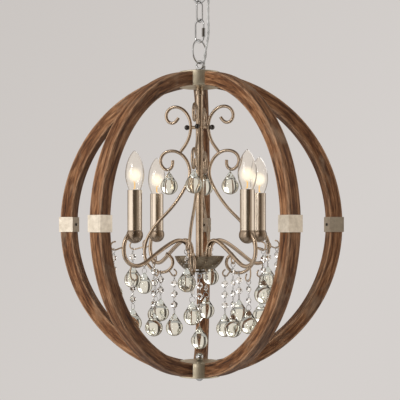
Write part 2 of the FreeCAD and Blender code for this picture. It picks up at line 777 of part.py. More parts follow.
def beads_that_fit(reach, height, wanted):
    """The beads wanted, or fewer where the ball drop would come too near the ribs or the nut."""
    beside_ribs = rib_inner - ball_radius - cell("strand_clearance")
    lowest_ball = -math.sqrt(max(0.0, beside_ribs**2 - reach**2))
    if reach < cell("bottom_nut_radius") + ball_radius:
        lowest_ball = bottom_nut_top + ball_radius + cell("strand_clearance")
    bare = 2 * strand_ring + 2 * ring_room + 2 * ball_ring + hole_level - pin_showing
    room = height - lowest_ball - bare
    return max(0, min(wanted, int(room / bead_pitch)))


def strand(label, turn, reach, height, wire, wanted):
    """A strand that hangs on a wire of that radius at (reach, height) of an azimuth."""
    beads = beads_that_fit(reach, height, wanted)
    hung = in_plane(turn, reach, height)
    print(f"{label}: hangs at {hung.x:.2f}, {hung.y:.2f}, {height - ceiling:.2f}, turn {turn:.0f}")
    side = azimuth(turn)
    pieces = []
    if beads:
        top_ring = Vector(hung.x, hung.y, height + wire + strand_wire + hang_gap - strand_ring)
        ring_foot = top_ring.z - strand_ring
        first = ring_foot - ring_room - bead_half
        last = first - bead_pitch * (beads - 1)
        ball_ring_top = last - bead_half - ring_room
        metal = torus(strand_ring, strand_wire, top_ring, side)
        pin_foot = Vector(hung.x, hung.y, ball_ring_top)
        metal = metal.fuse(Part.makeCylinder(pin_radius, ring_foot - ball_ring_top, pin_foot))
        ball_ring_centre = Vector(hung.x, hung.y, ball_ring_top - ball_ring)
        metal = metal.fuse(torus(ball_ring, ball_wire, ball_ring_centre, side))
        for number in range(beads):
            pieces.append(bead(Vector(hung.x, hung.y, first - bead_pitch * number), turn + 90))
    else:
        ball_ring_centre = Vector(hung.x, hung.y, height + wire + ball_wire + hang_gap - ball_ring)
        metal = torus(ball_ring, ball_wire, ball_ring_centre, side)
    ball_centre = ball_ring_centre - Vector(0, 0, ball_ring + hole_level)
    pieces = [metal] + pieces + [ball_drop(ball_centre, turn)]
    keep_shape(label, Part.makeCompound(pieces))


SIDES = ("front", "right", "back", "left")
CORNERS = ("right_front", "right_back", "left_back", "left_front")
rod_side, rod_foot = lowest(rod_side_hook), lowest(rod_foot_hook)
arm_side, arm_foot_eye = lowest(arm_side_hook), lowest(arm_foot_hook)
arm_slope = lowest(arm_slope_eye)
rod_curl = low_run(from_stud(LOWER_SCROLL))
scroll_curl = lowest(from_stud(LOWER_SCROLL[:6]))
for name, turn in zip(SIDES, rod_turns):
    strand(f"drop_scroll_{name}", turn, *scroll_curl, rod_radius, 0)
    strand(f"strand_rod_side_{name}", turn, *rod_side, hook_radius, 1)
    strand(f"strand_rod_curl_{name}", turn, *rod_curl, rod_radius, 2)
    if turn in side_rods:
        strand(f"strand_rod_foot_{name}", turn, *rod_foot, hook_radius, 3)
for name, turn in zip(CORNERS, arm_turns):
    strand(f"strand_arm_side_{name}", turn, *arm_side, hook_radius, 2)
    strand(f"strand_arm_foot_{name}", turn, *arm_foot_eye, hook_radius, 2)
    if turn in front_arms:
        strand(f"strand_arm_slope_{name}", turn, *arm_slope, hook_radius, 4)
strand("strand_centre", 90, 0, bowl_loop_bottom, hook_radius, 4)

# ---- bottom: a domed finial with its own bolt, and a ball nut on it inside the orb
bolt_radius = cell("bottom_bolt_radius")
finial_under = -orb_radius - cell("finial_height")
bolt = Part.makeCylinder(
    bolt_radius, nut_centre + orb_radius + cell("finial_height") * 0.5,
    Vector(0, 0, -orb_radius - cell("finial_height") * 0.5),
)  # fmt: skip
nut_ball = Part.makeSphere(bottom_nut_radius, Vector(0, 0, nut_centre))
keep_shape("bottom_nut", nut_ball.common(slab(bottom_plate_top, bottom_nut_top)).cut(bolt))
dome_radius = cell("finial_radius")
finial_dome = revolved(
    [
        ((0, finial_under), (dome_radius * 0.74, finial_under + dome_radius * 0.33),
         (dome_radius, finial_under + dome_radius)),
        ((dome_radius, finial_under + dome_radius), (dome_radius, -orb_radius)),
        ((dome_radius, -orb_radius), (0, -orb_radius)),
        ((0, -orb_radius), (0, finial_under)),
    ]
)  # fmt: skip
keep_shape("bottom_finial", finial_dome.fuse(bolt))

# ---- suspension: loop on the top hub, ring, quick link with its screw sleeve, chain link
chain_turn = math.radians(cell("chain_turn"))
along_ring = Vector(math.cos(chain_turn), math.sin(chain_turn), 0)
along_eye = Vector(math.sin(chain_turn), -math.cos(chain_turn), 0)


def inlet_place(height):
    middle = along_ring + along_eye
    middle.normalize()
    return middle * cell("inlet_reach") + Vector(0, 0, height)


collar = Part.makeCylinder(cell("collar_radius"), cell("collar_height"), Vector(0, 0, hub_top))
eye = torus(cell("eye_radius"), cell("eye_wire"), Vector(0, 0, eye_level), along_ring)
cord_seat_radius = cell("cord_radius") + cell("cord_fit")
inlet = Part.makeCylinder(
    cord_seat_radius + cell("inlet_wall"),
    cell("collar_height") + cell("inlet_height"),
    inlet_place(hub_top),
)
inlet_mouth = hub_top + cell("collar_height") + cell("inlet_height")
cord_seat = Part.makeCylinder(
    cord_seat_radius, cell("inlet_height"), inlet_place(inlet_mouth - cell("inlet_height"))
)
pipe_end = Part.makeCylinder(cell("nipple_radius"), pipe_top - hub_top, Vector(0, 0, hub_top))
keep_shape("fixture_loop", collar.fuse(eye).fuse(inlet).cut(cord_seat).cut(pipe_end))

ring = torus(cell("ring_radius"), cell("ring_wire"), Vector(0, 0, ring_level), along_eye)
keep_shape("hanging_ring", ring)


def long_link(bottom, length, half_width, wire, across):
    """An oval link: two straight sides and two round ends."""
    upper = bottom + length - half_width
    lower = bottom + half_width
    sides = [
        Part.makeCylinder(wire, upper - lower, across * half_width * s + Vector(0, 0, lower))
        for s in (1, -1)
    ]
    normal = across.cross(Vector(0, 0, 1))
    shape = sides[0].fuse(sides[1])
    for level, keep_side in ((upper, 1), (lower, -1)):
        end = torus(half_width, wire, Vector(0, 0, level), normal)
        size = 4 * half_width
        corner = Vector(-size / 2, -size / 2, level if keep_side > 0 else level - size)
        shape = shape.fuse(end.common(Part.makeBox(size, size, size, corner)))
    return shape.removeSplitter()


quick_wire, quick_side = cell("quick_wire"), cell("quick_half_width")
gap_low = quick_bottom + quick_side + cell("quick_gap_rise")
quick = long_link(quick_bottom, cell("quick_length"), quick_side, quick_wire, along_eye)
gap_place = along_eye * quick_side + Vector(0, 0, gap_low)
quick = quick.cut(Part.makeCylinder(2 * quick_wire, cell("quick_gap"), gap_place))
keep_shape("quick_link", quick)

nut_low = gap_low - cell("sleeve_nut_lap")
nut_place = along_eye * quick_side + Vector(0, 0, nut_low)
nut_body = Part.makeCylinder(cell("sleeve_nut_radius"), cell("sleeve_nut_height"), nut_place)
nut_bore = Part.makeCylinder(quick_wire + cell("sleeve_nut_fit"), cell("sleeve_nut_height"), nut_place)
keep_shape("quick_link_sleeve", nut_body.cut(nut_bore))

link = long_link(
    link_bottom, cell("link_length"), cell("link_half_width"), cell("link_wire"), along_ring
)
keep_shape("chain_link", link)

top_eye = torus(cell("top_eye_radius"), cell("eye_wire"), Vector(0, 0, top_eye_level), along_ring)
nipple_low = top_collar_bottom + cell("top_collar_floor")
top_collar = Part.makeCylinder(
    cell("top_collar_radius"), cell("top_collar_height"), Vector(0, 0, top_collar_bottom)
)
nipple_socket = Part.makeCylinder(
    cell("nipple_radius"), canopy_bottom - nipple_low, Vector(0, 0, nipple_low)
)
keep_shape("canopy_loop", top_collar.fuse(top_eye).cut(nipple_socket))

# ---- canopy: a spun steel cup on the ceiling, with a centre hole and a hole for the cord
bracket_span = "2 * (Sizes.bracket_hole_spacing / 2 + Sizes.bracket_end)"
bracket_corner = f"sqrt(({bracket_span} / 2) ^ 2 + (Sizes.bracket_width / 2) ^ 2)"
canopy_inside = bracket_corner + " + Sizes.canopy_room"
edge_room = " + Sizes.canopy_wall + Sizes.canopy_edge * 0.3"  # keeps the rounded edge's wall
canopy_outer = primitive(
    "Cylinder",
    "canopy_outer",
    {"Radius": canopy_inside + edge_room, "Height": "Sizes.canopy_height"},
    at(z=canopy_bottom),
)
doc.recompute()
canopy_round = doc.addObject("Part::Fillet", "canopy_round")
canopy_round.Base = canopy_outer
low_edge = [
    number + 1
    for number, edge in enumerate(canopy_outer.Shape.Edges)
    if len(edge.Vertexes) == 1 and abs(edge.BoundBox.ZMax - (canopy_bottom - ceiling)) < 0.01
]
canopy_round.Edges = [(number, cell("canopy_edge"), cell("canopy_edge")) for number in low_edge]
canopy_hollow = primitive(
    "Cylinder",
    "canopy_hollow",
    {
        "Radius": canopy_inside,
        "Height": "Sizes.canopy_height - Sizes.canopy_wall",
    },
    at(z=canopy_bottom + cell("canopy_wall")),
)
canopy_centre = primitive(
    "Cylinder",
    "canopy_centre",
    {"Radius": "Sizes.nipple_radius + Sizes.nipple_fit", "Height": "4 * Sizes.canopy_wall"},
    at(z=canopy_bottom - cell("canopy_wall")),
)
canopy_cord = primitive(
    "Cylinder",
    "canopy_cord",
    {"Radius": "Sizes.cord_radius + Sizes.cord_hole_room", "Height": "4 * Sizes.canopy_wall"},
    at(x=cell("cord_hole_reach"), z=canopy_bottom - cell("canopy_wall")),
)
keep(cut("canopy", canopy_round, canopy_hollow, canopy_centre, canopy_cord), "canopy")

# ---- ceiling bracket: a steel bar with two screw holes and a threaded centre for the nipple
bracket_bar = primitive(
    "Box",
    "bracket_bar",
    {
        "Length": bracket_span,
        "Width": "Sizes.bracket_width",
        "Height": "Sizes.bracket_thickness",
    },
    at(
        -cell("bracket_hole_spacing") / 2 - cell("bracket_end"),
        -cell("bracket_width") / 2,
        ceiling - cell("bracket_thickness"),
    ),
)
bracket_holes = [
    primitive(
        "Cylinder",
        f"bracket_hole_{number}",
        {"Radius": radius, "Height": "3 * Sizes.bracket_thickness"},
        at(x, 0, ceiling - 2 * cell("bracket_thickness")),
    )
    for number, (x, radius) in enumerate(
        [
            (-cell("bracket_hole_spacing") / 2, "Sizes.bracket_hole_radius"),
            (cell("bracket_hole_spacing") / 2, "Sizes.bracket_hole_radius"),
            (0, "Sizes.nipple_radius"),
        ]
    )
]
keep(cut("ceiling_bracket", bracket_bar, *bracket_holes), "ceiling_bracket")

nipple_top = ceiling - cell("nipple_below_ceiling")
nipple = Part.makeCylinder(cell("nipple_radius"), nipple_top - nipple_low, Vector(0, 0, nipple_low)).cut(
    Part.makeCylinder(cell("nipple_bore"), nipple_top - nipple_low, Vector(0, 0, nipple_low))
)
keep_shape("canopy_nipple", nipple)

# ---- supply cord: four stretches, each beside one hinge of the suspension, from the fixture's
# inlet to the canopy. Its points are given as (x, y, height over the top hub)
inlet_point = inlet_place(inlet_mouth)
CORD = [
    (7.9, 1.0, 25.0), (10.6, -0.6, 38.0), (13.6, -1.4, 52.0), (15.6, -0.6, 67.0),
    (15.9, 0.6, 83.0), (15.0, 1.0, 100.0), (15.2, 0.2, 118.0), (15.8, -0.4, 137.0),
]  # fmt: skip
cord_start = inlet_point - Vector(0, 0, cell("inlet_height"))
cord_end = Vector(cell("cord_hole_reach"), 0, canopy_bottom + cell("cord_tail"))
cord_route = [cord_start] + [Vector(x, y, hub_top + z) for x, y, z in CORD] + [cord_end]
for before, corner, after in zip(cord_route, cord_route[1:], cord_route[2:]):
    print(f"cord bend at z {corner.z - ceiling:.1f}: radius {bend_radius(before, corner, after):.1f} mm")
cord_tube = tube(cord_route, cell("cord_radius"))
cord_length = bent_path(cord_route).Length
print(f"cord length {cord_length:.1f} mm, volume {cord_tube.Volume:.0f} of",
      f"{cord_length * math.pi * cell('cord_radius') ** 2:.0f} mm3")  # fmt: skip
CORD_CUTS = [hub_top, hub_top + 44.0, hub_top + 77.0, hub_top + 110.0, ceiling]
for number, (low, high) in enumerate(zip(CORD_CUTS, CORD_CUTS[1:]), start=1):
    keep_shape(f"cord_{number}", cord_tube.common(slab(low, high)))

# ---- check every object, then write one STEP file for each sub-part
doc.recompute()
for obj in doc.Objects:
    if "Invalid" in obj.State or "Error" in obj.State:
        raise RuntimeError(f"{obj.Name} failed: {obj.State}")
os.makedirs("parts", exist_ok=True)
for obj in parts:
    if obj.Shape.isNull() or not obj.Shape.isValid():
        raise RuntimeError(f"{obj.Label} has no valid shape")
    obj.Shape.exportStep(os.path.join("parts", obj.Label + ".step"))
for place, height in (
    ("ring on the fixture's eye", ring_bottom), ("quick link on the ring", ring_top),
    ("chain link on the quick link", quick_top), ("chain link on the canopy loop", top_eye_bottom),
):  # fmt: skip
    print(f"{place}: z {height - ceiling:.2f}")
print(f"{len(parts)} sub-parts, ceiling {ceiling:.2f} mm over the middle of the orb")
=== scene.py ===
# %% [markdown]
# # An orb chandelier
# Five bentwood ribs form an open orb. Inside it hangs a small candle fixture of champagne metal,
# with clear glass balls on strings of beads. The CAD model gives every piece its size and place.
# Blender gives the grain, the brushed metal, the glass and the glow of the lamps.

# %% Load the frame
import json
import math

import bmesh
import bpy
from mathutils import Matrix, Vector


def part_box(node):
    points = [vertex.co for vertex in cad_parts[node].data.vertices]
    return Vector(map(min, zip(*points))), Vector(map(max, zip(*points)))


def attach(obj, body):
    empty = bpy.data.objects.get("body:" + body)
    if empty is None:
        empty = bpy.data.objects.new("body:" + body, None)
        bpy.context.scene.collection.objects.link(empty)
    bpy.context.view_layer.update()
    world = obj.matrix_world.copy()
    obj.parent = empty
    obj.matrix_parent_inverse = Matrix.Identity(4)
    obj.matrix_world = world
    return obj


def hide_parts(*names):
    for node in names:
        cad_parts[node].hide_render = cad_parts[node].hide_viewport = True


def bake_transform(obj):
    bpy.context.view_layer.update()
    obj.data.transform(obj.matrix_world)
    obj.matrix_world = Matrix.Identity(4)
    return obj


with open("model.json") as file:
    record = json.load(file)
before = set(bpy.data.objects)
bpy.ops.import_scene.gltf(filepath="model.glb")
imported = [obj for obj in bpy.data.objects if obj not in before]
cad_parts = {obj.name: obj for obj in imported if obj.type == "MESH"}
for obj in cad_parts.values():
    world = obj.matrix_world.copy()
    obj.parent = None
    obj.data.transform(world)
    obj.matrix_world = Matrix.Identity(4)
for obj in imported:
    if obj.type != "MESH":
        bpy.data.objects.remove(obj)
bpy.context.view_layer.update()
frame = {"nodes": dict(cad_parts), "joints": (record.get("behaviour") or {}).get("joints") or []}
nodes = frame["nodes"]
MM = 0.001

band_low, band_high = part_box("rib_bands")
MIDDLE = (band_low[2] + band_high[2]) / 2  # height of the orb's middle, in metres below the ceiling
print("the orb's middle is", round(-MIDDLE / MM, 1), "mm under the ceiling")

# %% [markdown]
# ## Camera
# A photographer stands about two metres away with a short telephoto lens, and the camera is as high
# as the orb's middle. A level camera keeps the stem upright, and the lens is shifted up a little, so
# that the chain comes into the picture.

# %% Camera
CAMERA_BACK = 1.930
CAMERA_BELOW_MIDDLE = 0.010
LENS_PIXELS, PICTURE_PIXELS = 1106, 400
SHIFT_UP, SHIFT_ACROSS = 0.075, 0.00125

camera_data = bpy.data.cameras.new("camera")
camera_data.sensor_width = 36
camera_data.lens = 36 * LENS_PIXELS / PICTURE_PIXELS
camera_data.shift_x, camera_data.shift_y = SHIFT_ACROSS, SHIFT_UP
camera = bpy.data.objects.new("camera", camera_data)
camera.location = (0, -CAMERA_BACK, MIDDLE - CAMERA_BELOW_MIDDLE)
camera.rotation_euler = (math.pi / 2, 0, 0)
bpy.context.scene.collection.objects.link(camera)
bpy.context.scene.camera = camera

# %% [markdown]
# ## World, floor and lamps
# Glass and polished metal show the room more than themselves, so the room is drawn with care. The
# wall behind the chandelier is pale and even. Metal sees a wide window on the viewer's left, a
# narrow one on the right and a dark strip behind the viewer. Glass bends the light, so each ball
# gathers the room round it into thin dark crescents: for glass, the room is pale with a few dark
# doors. Three lamps are large and soft and one is small, and none shows in the picture.


# %% Node helpers
def link(tree, source, target):
    tree.links.new(source, target)


def fill(tree, socket, value):
    """Feeds a socket from another one, or sets it to a plain value."""
    if hasattr(value, "is_linked"):
        link(tree, value, socket)
    else:
        socket.default_value = value


def new_node(tree, kind, **values):
    """A node with its inputs filled; an underscore in a label stands for a space."""
    node = tree.nodes.new(kind)
    for label, value in values.items():
        fill(tree, node.inputs[label.replace("_", " ")], value)
    return node


def math_node(tree, operation, *values):
    node = tree.nodes.new("ShaderNodeMath")
    node.operation = operation
    for socket, value in zip(node.inputs, values):
        fill(tree, socket, value)
    return node.outputs[0]


def held(tree, value, low, high):
    """The value, held between two limits."""
    return math_node(tree, "MINIMUM", math_node(tree, "MAXIMUM", value, low), high)


def ramp(tree, factor, *stops):
    """A colour ramp from (position, colour) stops."""
    node = new_node(tree, "ShaderNodeValToRGB", Fac=factor)
    elements = node.color_ramp.elements
    while len(elements) < len(stops):
        elements.new(0.5)
    for element, (place, colour) in zip(elements, stops):
        element.position = place
        element.color = colour
    return node.outputs["Color"]


def mix_colour(tree, factor, first, second, blend="MIX"):
    node = tree.nodes.new("ShaderNodeMix")
    node.data_type = "RGBA"
    node.blend_type = blend
    for label, value in (("Factor", factor), ("A", first), ("B", second)):
        fill(tree, node.inputs[label], value)
    return node.outputs["Result"]


def mix_shader(tree, factor, first, second):
    node = tree.nodes.new("ShaderNodeMixShader")
    for socket, source in zip(node.inputs, (factor, first.outputs[0], second.outputs[0])):
        link(tree, source, socket)
    return node.outputs[0]


# %% World
WALL, WALL_SHADED = (0.665, 0.632, 0.610, 1), (0.575, 0.542, 0.518, 1)
CORNER_RATE, CORNER_START = 1.5, 0.2
ROOM, ROOM_SHADE, ROOM_LIGHT = (0.80, 0.80, 0.80, 1), (0.10, 0.095, 0.09, 1), 0.38
SHADE_FROM, SHADE_RATE, SHADE_MOST = 0.45, 1.4, 0.8  # the ceiling and the floor are darker
IN_METAL = (
    (-180, 0.55), (-125, 0.26), (-108, 1.05), (-60, 1.4), (-24, 1.25), (-14, 0.09), (22, 0.09),
    (38, 0.22), (72, 0.62), (88, 1.2), (112, 1.2), (126, 0.14), (180, 0.40),
)
PALE, DOOR, DOOR_FRAME = 0.72, 0.05, 2
DARK_DOORS = (
    (-154, -144), (-118, -104), (-72, -58), (-37, -22), (25, 31), (64, 78), (128, 142),
)
THROUGH_GLASS = [(-180, PALE)]
for door_start, door_end in DARK_DOORS:
    THROUGH_GLASS += [(door_start - DOOR_FRAME, PALE), (door_start, DOOR)]
    THROUGH_GLASS += [(door_end, DOOR), (door_end + DOOR_FRAME, PALE)]
THROUGH_GLASS.append((180, PALE))

scene = bpy.context.scene
scene.view_settings.view_transform = "Standard"
scene.world = bpy.data.worlds.new("room")
scene.world.use_nodes = True
room = scene.world.node_tree
room.nodes.clear()
direction = room.nodes.new("ShaderNodeTexCoord").outputs["Generated"]
x_way, y_way, z_way = new_node(room, "ShaderNodeSeparateXYZ", Vector=direction).outputs
ray = room.nodes.new("ShaderNodeLightPath").outputs


def room_by_bearing(ahead, tones):
    """Brightness of the room by bearing: 0 is this direction, -90 is the left and 90 the right."""
    bearing = math_node(room, "ARCTAN2", x_way, ahead)
    stops = []
    for degrees, tone in tones:
        warm = min(tone, 1.0)  # the dark parts of the room are brown, the light parts white
        colour = (tone, tone * (0.78 + 0.19 * warm), tone * (0.56 + 0.38 * warm), 1)
        stops.append((0.5 + degrees / 360, colour))
    return ramp(room, math_node(room, "MULTIPLY_ADD", bearing, 0.5 / math.pi, 0.5), *stops)


in_metal = room_by_bearing(math_node(room, "MULTIPLY", y_way, -1.0), IN_METAL)
through_glass = room_by_bearing(y_way, THROUGH_GLASS)
steep = math_node(room, "SUBTRACT", math_node(room, "ABSOLUTE", z_way), SHADE_FROM)
shade = held(room, math_node(room, "MULTIPLY", steep, SHADE_RATE), 0.0, SHADE_MOST)
corner = math_node(room, "SUBTRACT", z_way, x_way)
corner = held(room, math_node(room, "MULTIPLY_ADD", corner, CORNER_RATE, CORNER_START), 0, 1)
wall = mix_colour(room, corner, WALL, WALL_SHADED)
wall = mix_colour(room, ray["Is Glossy Ray"], wall, in_metal)
wall = mix_colour(room, ray["Is Transmission Ray"], wall, through_glass)
wall = mix_colour(room, shade, wall, ROOM_SHADE)
seen = math_node(room, "MAXIMUM", ray["Is Glossy Ray"], ray["Is Transmission Ray"])
seen = math_node(room, "MAXIMUM", ray["Is Camera Ray"], seen)
seen_wall = new_node(room, "ShaderNodeBackground", Color=wall)
light_of_room = new_node(room, "ShaderNodeBackground", Color=ROOM, Strength=ROOM_LIGHT)
new_node(room, "ShaderNodeOutputWorld", Surface=mix_shader(room, seen, light_of_room, seen_wall))
print("the world has", len(room.nodes), "nodes")

# %% Floor and lamps
FLOOR_DOWN, FLOOR_HALF = 2.3, 3.0


def new_object(name, data):
    obj = bpy.data.objects.new(name, data)
    scene.collection.objects.link(obj)
    return obj


def new_mesh(name, points, faces):
    mesh = bpy.data.meshes.new(name)
    mesh.from_pydata([tuple(point) for point in points], [], faces)
    return mesh


def soft_lamp(name, place, size, watts):
    """A square area lamp that looks at the orb's middle."""
    data = bpy.data.lights.new(name, "AREA")
    data.size = size
    data.energy = watts
    lamp = new_object(name, data)
    lamp.location = place
    aim = Vector((0, 0, MIDDLE)) - Vector(place)
    lamp.rotation_euler = aim.to_track_quat("-Z", "Y").to_euler()
    return lamp


for large_lamp in (
    soft_lamp("window_left", (-2.0, -1.9, MIDDLE + 0.9), 1.6, 78),
    soft_lamp("fill_right", (2.3, -1.4, MIDDLE + 0.2), 1.6, 14),
    soft_lamp("rim_behind", (1.2, 2.2, MIDDLE + 1.2), 1.6, 20),
):
    large_lamp.visible_glossy = False  # metal sees the drawn room, where white is hardly passed
soft_lamp("sparkle", (-1.3, -2.3, MIDDLE + 1.3), 0.3, 6)

floor_spots = [(-1, -1), (1, -1), (1, 1), (-1, 1)]
floor_spots = [(x * FLOOR_HALF, y * FLOOR_HALF, -FLOOR_DOWN) for x, y in floor_spots]
floor = new_object("floor", new_mesh("floor", floor_spots, [(0, 1, 2, 3)]))
print("the floor is", FLOOR_DOWN, "m under the ceiling")

# %% [markdown]
# ## Small shading tools
# Several finishes need the same effects: fine lines, soft blotches and grain. A short function adds
# each effect to a material. The blotches are a node group, built once, with named inputs.


# %% Shader helpers
def new_group(name, inputs, outputs):
    group = bpy.data.node_groups.new(name, "ShaderNodeTree")
    for label, kind, value in inputs:
        socket = group.interface.new_socket(label, in_out="INPUT", socket_type="NodeSocket" + kind)
        if value is not None:
            socket.default_value = value
    for label, kind in outputs:
        group.interface.new_socket(label, in_out="OUTPUT", socket_type="NodeSocket" + kind)
    return group, group.nodes.new("NodeGroupInput"), group.nodes.new("NodeGroupOutput")


def place_group(tree, group, **values):
    node = tree.nodes.new("ShaderNodeGroup")
    node.node_tree = group
    for label, value in values.items():
        fill(tree, node.inputs[label], value)
    return node.outputs


def new_material(name, **sockets):
    """A Principled material; plain numbers go on the shader's own sockets."""
    material = bpy.data.materials.new(name)
    material.use_nodes = True
    tree = material.node_tree
    shader = tree.nodes["Principled BSDF"]
    for label, value in sockets.items():
        shader.inputs[label.replace("_", " ")].default_value = value
    return material, tree, shader.inputs


def noise(tree, vector, scale, detail=4.0, rough=0.55, distortion=0.0):
    node = new_node(tree, "ShaderNodeTexNoise", Vector=vector, Scale=scale, Detail=detail)
    fill(tree, node.inputs["Roughness"], rough)
    fill(tree, node.inputs["Distortion"], distortion)
    return node.outputs["Fac"]


def stretched(tree, vector, scale):
    return new_node(tree, "ShaderNodeMapping", Scale=scale, Vector=vector).outputs["Vector"]


def between(tree, value, low, high):
    """Turns a value from 0 to 1 into one from low to high."""
    return new_node(tree, "ShaderNodeMapRange", Value=value, To_Min=low, To_Max=high).outputs[0]


def bump(tree, shader, height, depth, strength):
    node = new_node(tree, "ShaderNodeBump", Height=height, Distance=depth, Strength=strength)
    link(tree, node.outputs["Normal"], shader["Normal"])


def object_place(tree):
    return tree.nodes.new("ShaderNodeTexCoord").outputs["Object"]


def attribute(tree, name, output):
    node = tree.nodes.new("ShaderNodeAttribute")
    node.attribute_name = name
    return node.outputs[output]


# %% Group: blotches of patina
patina_group, patina_in, patina_out = new_group(
    "patina",
    [("Vector", "Vector", None), ("Scale", "Float", 60.0), ("Light", "Color", (1, 1, 1, 1)),
     ("Dark", "Color", (0, 0, 0, 1)), ("Low", "Float", 0.35), ("High", "Float", 0.65)],
    [("Color", "Color"), ("Mask", "Float")],
)
given = patina_in.outputs
spots = noise(patina_group, given["Vector"], given["Scale"], 6.0, 0.62)
mask = new_node(
    patina_group, "ShaderNodeMapRange", Value=spots, From_Min=given["Low"], From_Max=given["High"]
).outputs[0]
link(patina_group, mask, patina_out.inputs["Mask"])
patina = mix_colour(patina_group, mask, given["Dark"], given["Light"])
link(patina_group, patina, patina_out.inputs["Color"])
print("the patina group has", len(patina_group.nodes), "nodes")

# %% [markdown]
# ## Wood
# The ribs are bent from strips of a brown timber with a dry, rubbed stain. The grain follows the
# bend, so the pattern has to run along each rib. Each rib carries its own coordinates for this:
# the distance along the strip, and the place across its section.

# %% Wood material
# The second colour is the rib edges' lighter tone: partly chafed wood, partly a painted highlight.
GREYED, CHAFE_AND_HIGHLIGHT = (0.29, 0.195, 0.125, 1), (0.46, 0.27, 0.155, 1)
BLACK, WHITE = (0, 0, 0, 1), (1, 1, 1, 1)


def wood_material():
    material, tree, shader = new_material("rubbed_wood", Specular_IOR_Level=0.32)
    place = attribute(tree, "grain", "Vector")
    edge = attribute(tree, "edge", "Fac")

    def grain(along, across, detail, rough, distortion=0.0):
        scaled = stretched(tree, place, (along, across, across))
        return noise(tree, scaled, 1.0, detail, rough, distortion)

    fibres = grain(55, 640, 8.0, 0.68, 0.3)
    streaks = grain(14, 150, 7.0, 0.66, 0.7)
    blotches = grain(15, 26, 4.0, 0.6, 0.8)
    pores = grain(60, 1500, 2.0, 0.5)
    base = ramp(
        tree, streaks,
        (0.34, (0.042, 0.016, 0.007, 1)), (0.46, (0.125, 0.050, 0.020, 1)),
        (0.57, (0.255, 0.122, 0.056, 1)), (0.72, (0.41, 0.232, 0.130, 1)),
    )
    fibre_tone = ramp(tree, fibres, (0.38, (0.38, 0.34, 0.31, 1)), (0.57, (1.16, 1.12, 1.06, 1)))
    toned = mix_colour(tree, 0.8, base, fibre_tone, "MULTIPLY")
    grey_wear = ramp(tree, blotches, (0.56, BLACK), (0.74, (0.6, 0.6, 0.6, 1)))
    worn = mix_colour(tree, grey_wear, toned, GREYED)
    pore_tone = ramp(tree, pores, (0.30, (0.55, 0.50, 0.46, 1)), (0.46, WHITE))
    porous = mix_colour(tree, 0.7, worn, pore_tone, "MULTIPLY")
    # Beside each rounded edge runs a thin dark line of painted shade, and the edge itself is lighter in
    # places: partly chafed wood, partly a painted highlight.
    painted_arris_shade = ramp(tree, edge, (0.0, WHITE), (0.45, (0.42, 0.38, 0.34, 1)), (0.85, WHITE))
    porous = mix_colour(tree, 0.8, porous, painted_arris_shade, "MULTIPLY")
    # The lighter edge is partly chafed wood and partly a painted highlight where the rounded edge catches
    # the light.
    chafe_and_highlight = ramp(tree, fibres, (0.40, (0.15, 0.15, 0.15, 1)), (0.60, WHITE))
    chafe_and_highlight = mix_colour(tree, 0.62, BLACK, mix_colour(tree, edge, BLACK, chafe_and_highlight))
    link(tree, mix_colour(tree, chafe_and_highlight, porous, CHAFE_AND_HIGHLIGHT), shader["Base Color"])
    link(tree, between(tree, fibres, 0.74, 0.48), shader["Roughness"])
    depth = math_node(tree, "ADD", fibres, math_node(tree, "MULTIPLY", pores, 0.4))
    bump(tree, shader, depth, 0.0006, 0.7)
    return material


WOOD = wood_material()
print("made", WOOD.name)

# %% [markdown]
# ## Metals
# The fixture is steel with a champagne finish: warm silver, a little blotchy, never mirror bright.
# The candle sleeves are brushed along their length, the bands and hubs have a rubbed, leaf-like
# finish, and the chain is plain grey steel. One function makes them all, with numbers for each.


# %% Metal materials
def metal_material(name, light, dark, rough, blotches, lines, line_depth=0.0, metallic=1.0):
    """A blotchy metal with two tones; lines is the stretch of its fine tone lines."""
    material, tree, shader = new_material(name, Metallic=metallic)
    place = object_place(tree)
    patina = place_group(
        tree, patina_group, Vector=place, Scale=blotches, Light=(*light, 1), Dark=(*dark, 1)
    )
    fine = noise(tree, stretched(tree, place, lines), 1.0, 5.0, 0.6)
    tone = ramp(tree, fine, (0.25, (0.92, 0.92, 0.92, 1)), (0.75, (1.05, 1.05, 1.05, 1)))
    link(tree, mix_colour(tree, 0.8, patina["Color"], tone, "MULTIPLY"), shader["Base Color"])
    link(tree, between(tree, patina["Mask"], rough * 1.1, rough * 0.92), shader["Roughness"])
    if line_depth:
        bump(tree, shader, fine, line_depth, 0.6)
    print("made", name)
    return material


CHAMPAGNE = metal_material(
    "champagne_metal", (0.64, 0.50, 0.37), (0.54, 0.415, 0.30), 0.23, 30, (60, 60, 60)
)
BRUSHED = metal_material(
    "brushed_sleeve", (0.76, 0.655, 0.54), (0.70, 0.60, 0.49), 0.22, 20, (900, 900, 6)
)
CUP_METAL = metal_material(
    "cup_metal", (0.41, 0.315, 0.23), (0.31, 0.235, 0.17), 0.30, 40, (100, 100, 100)
)
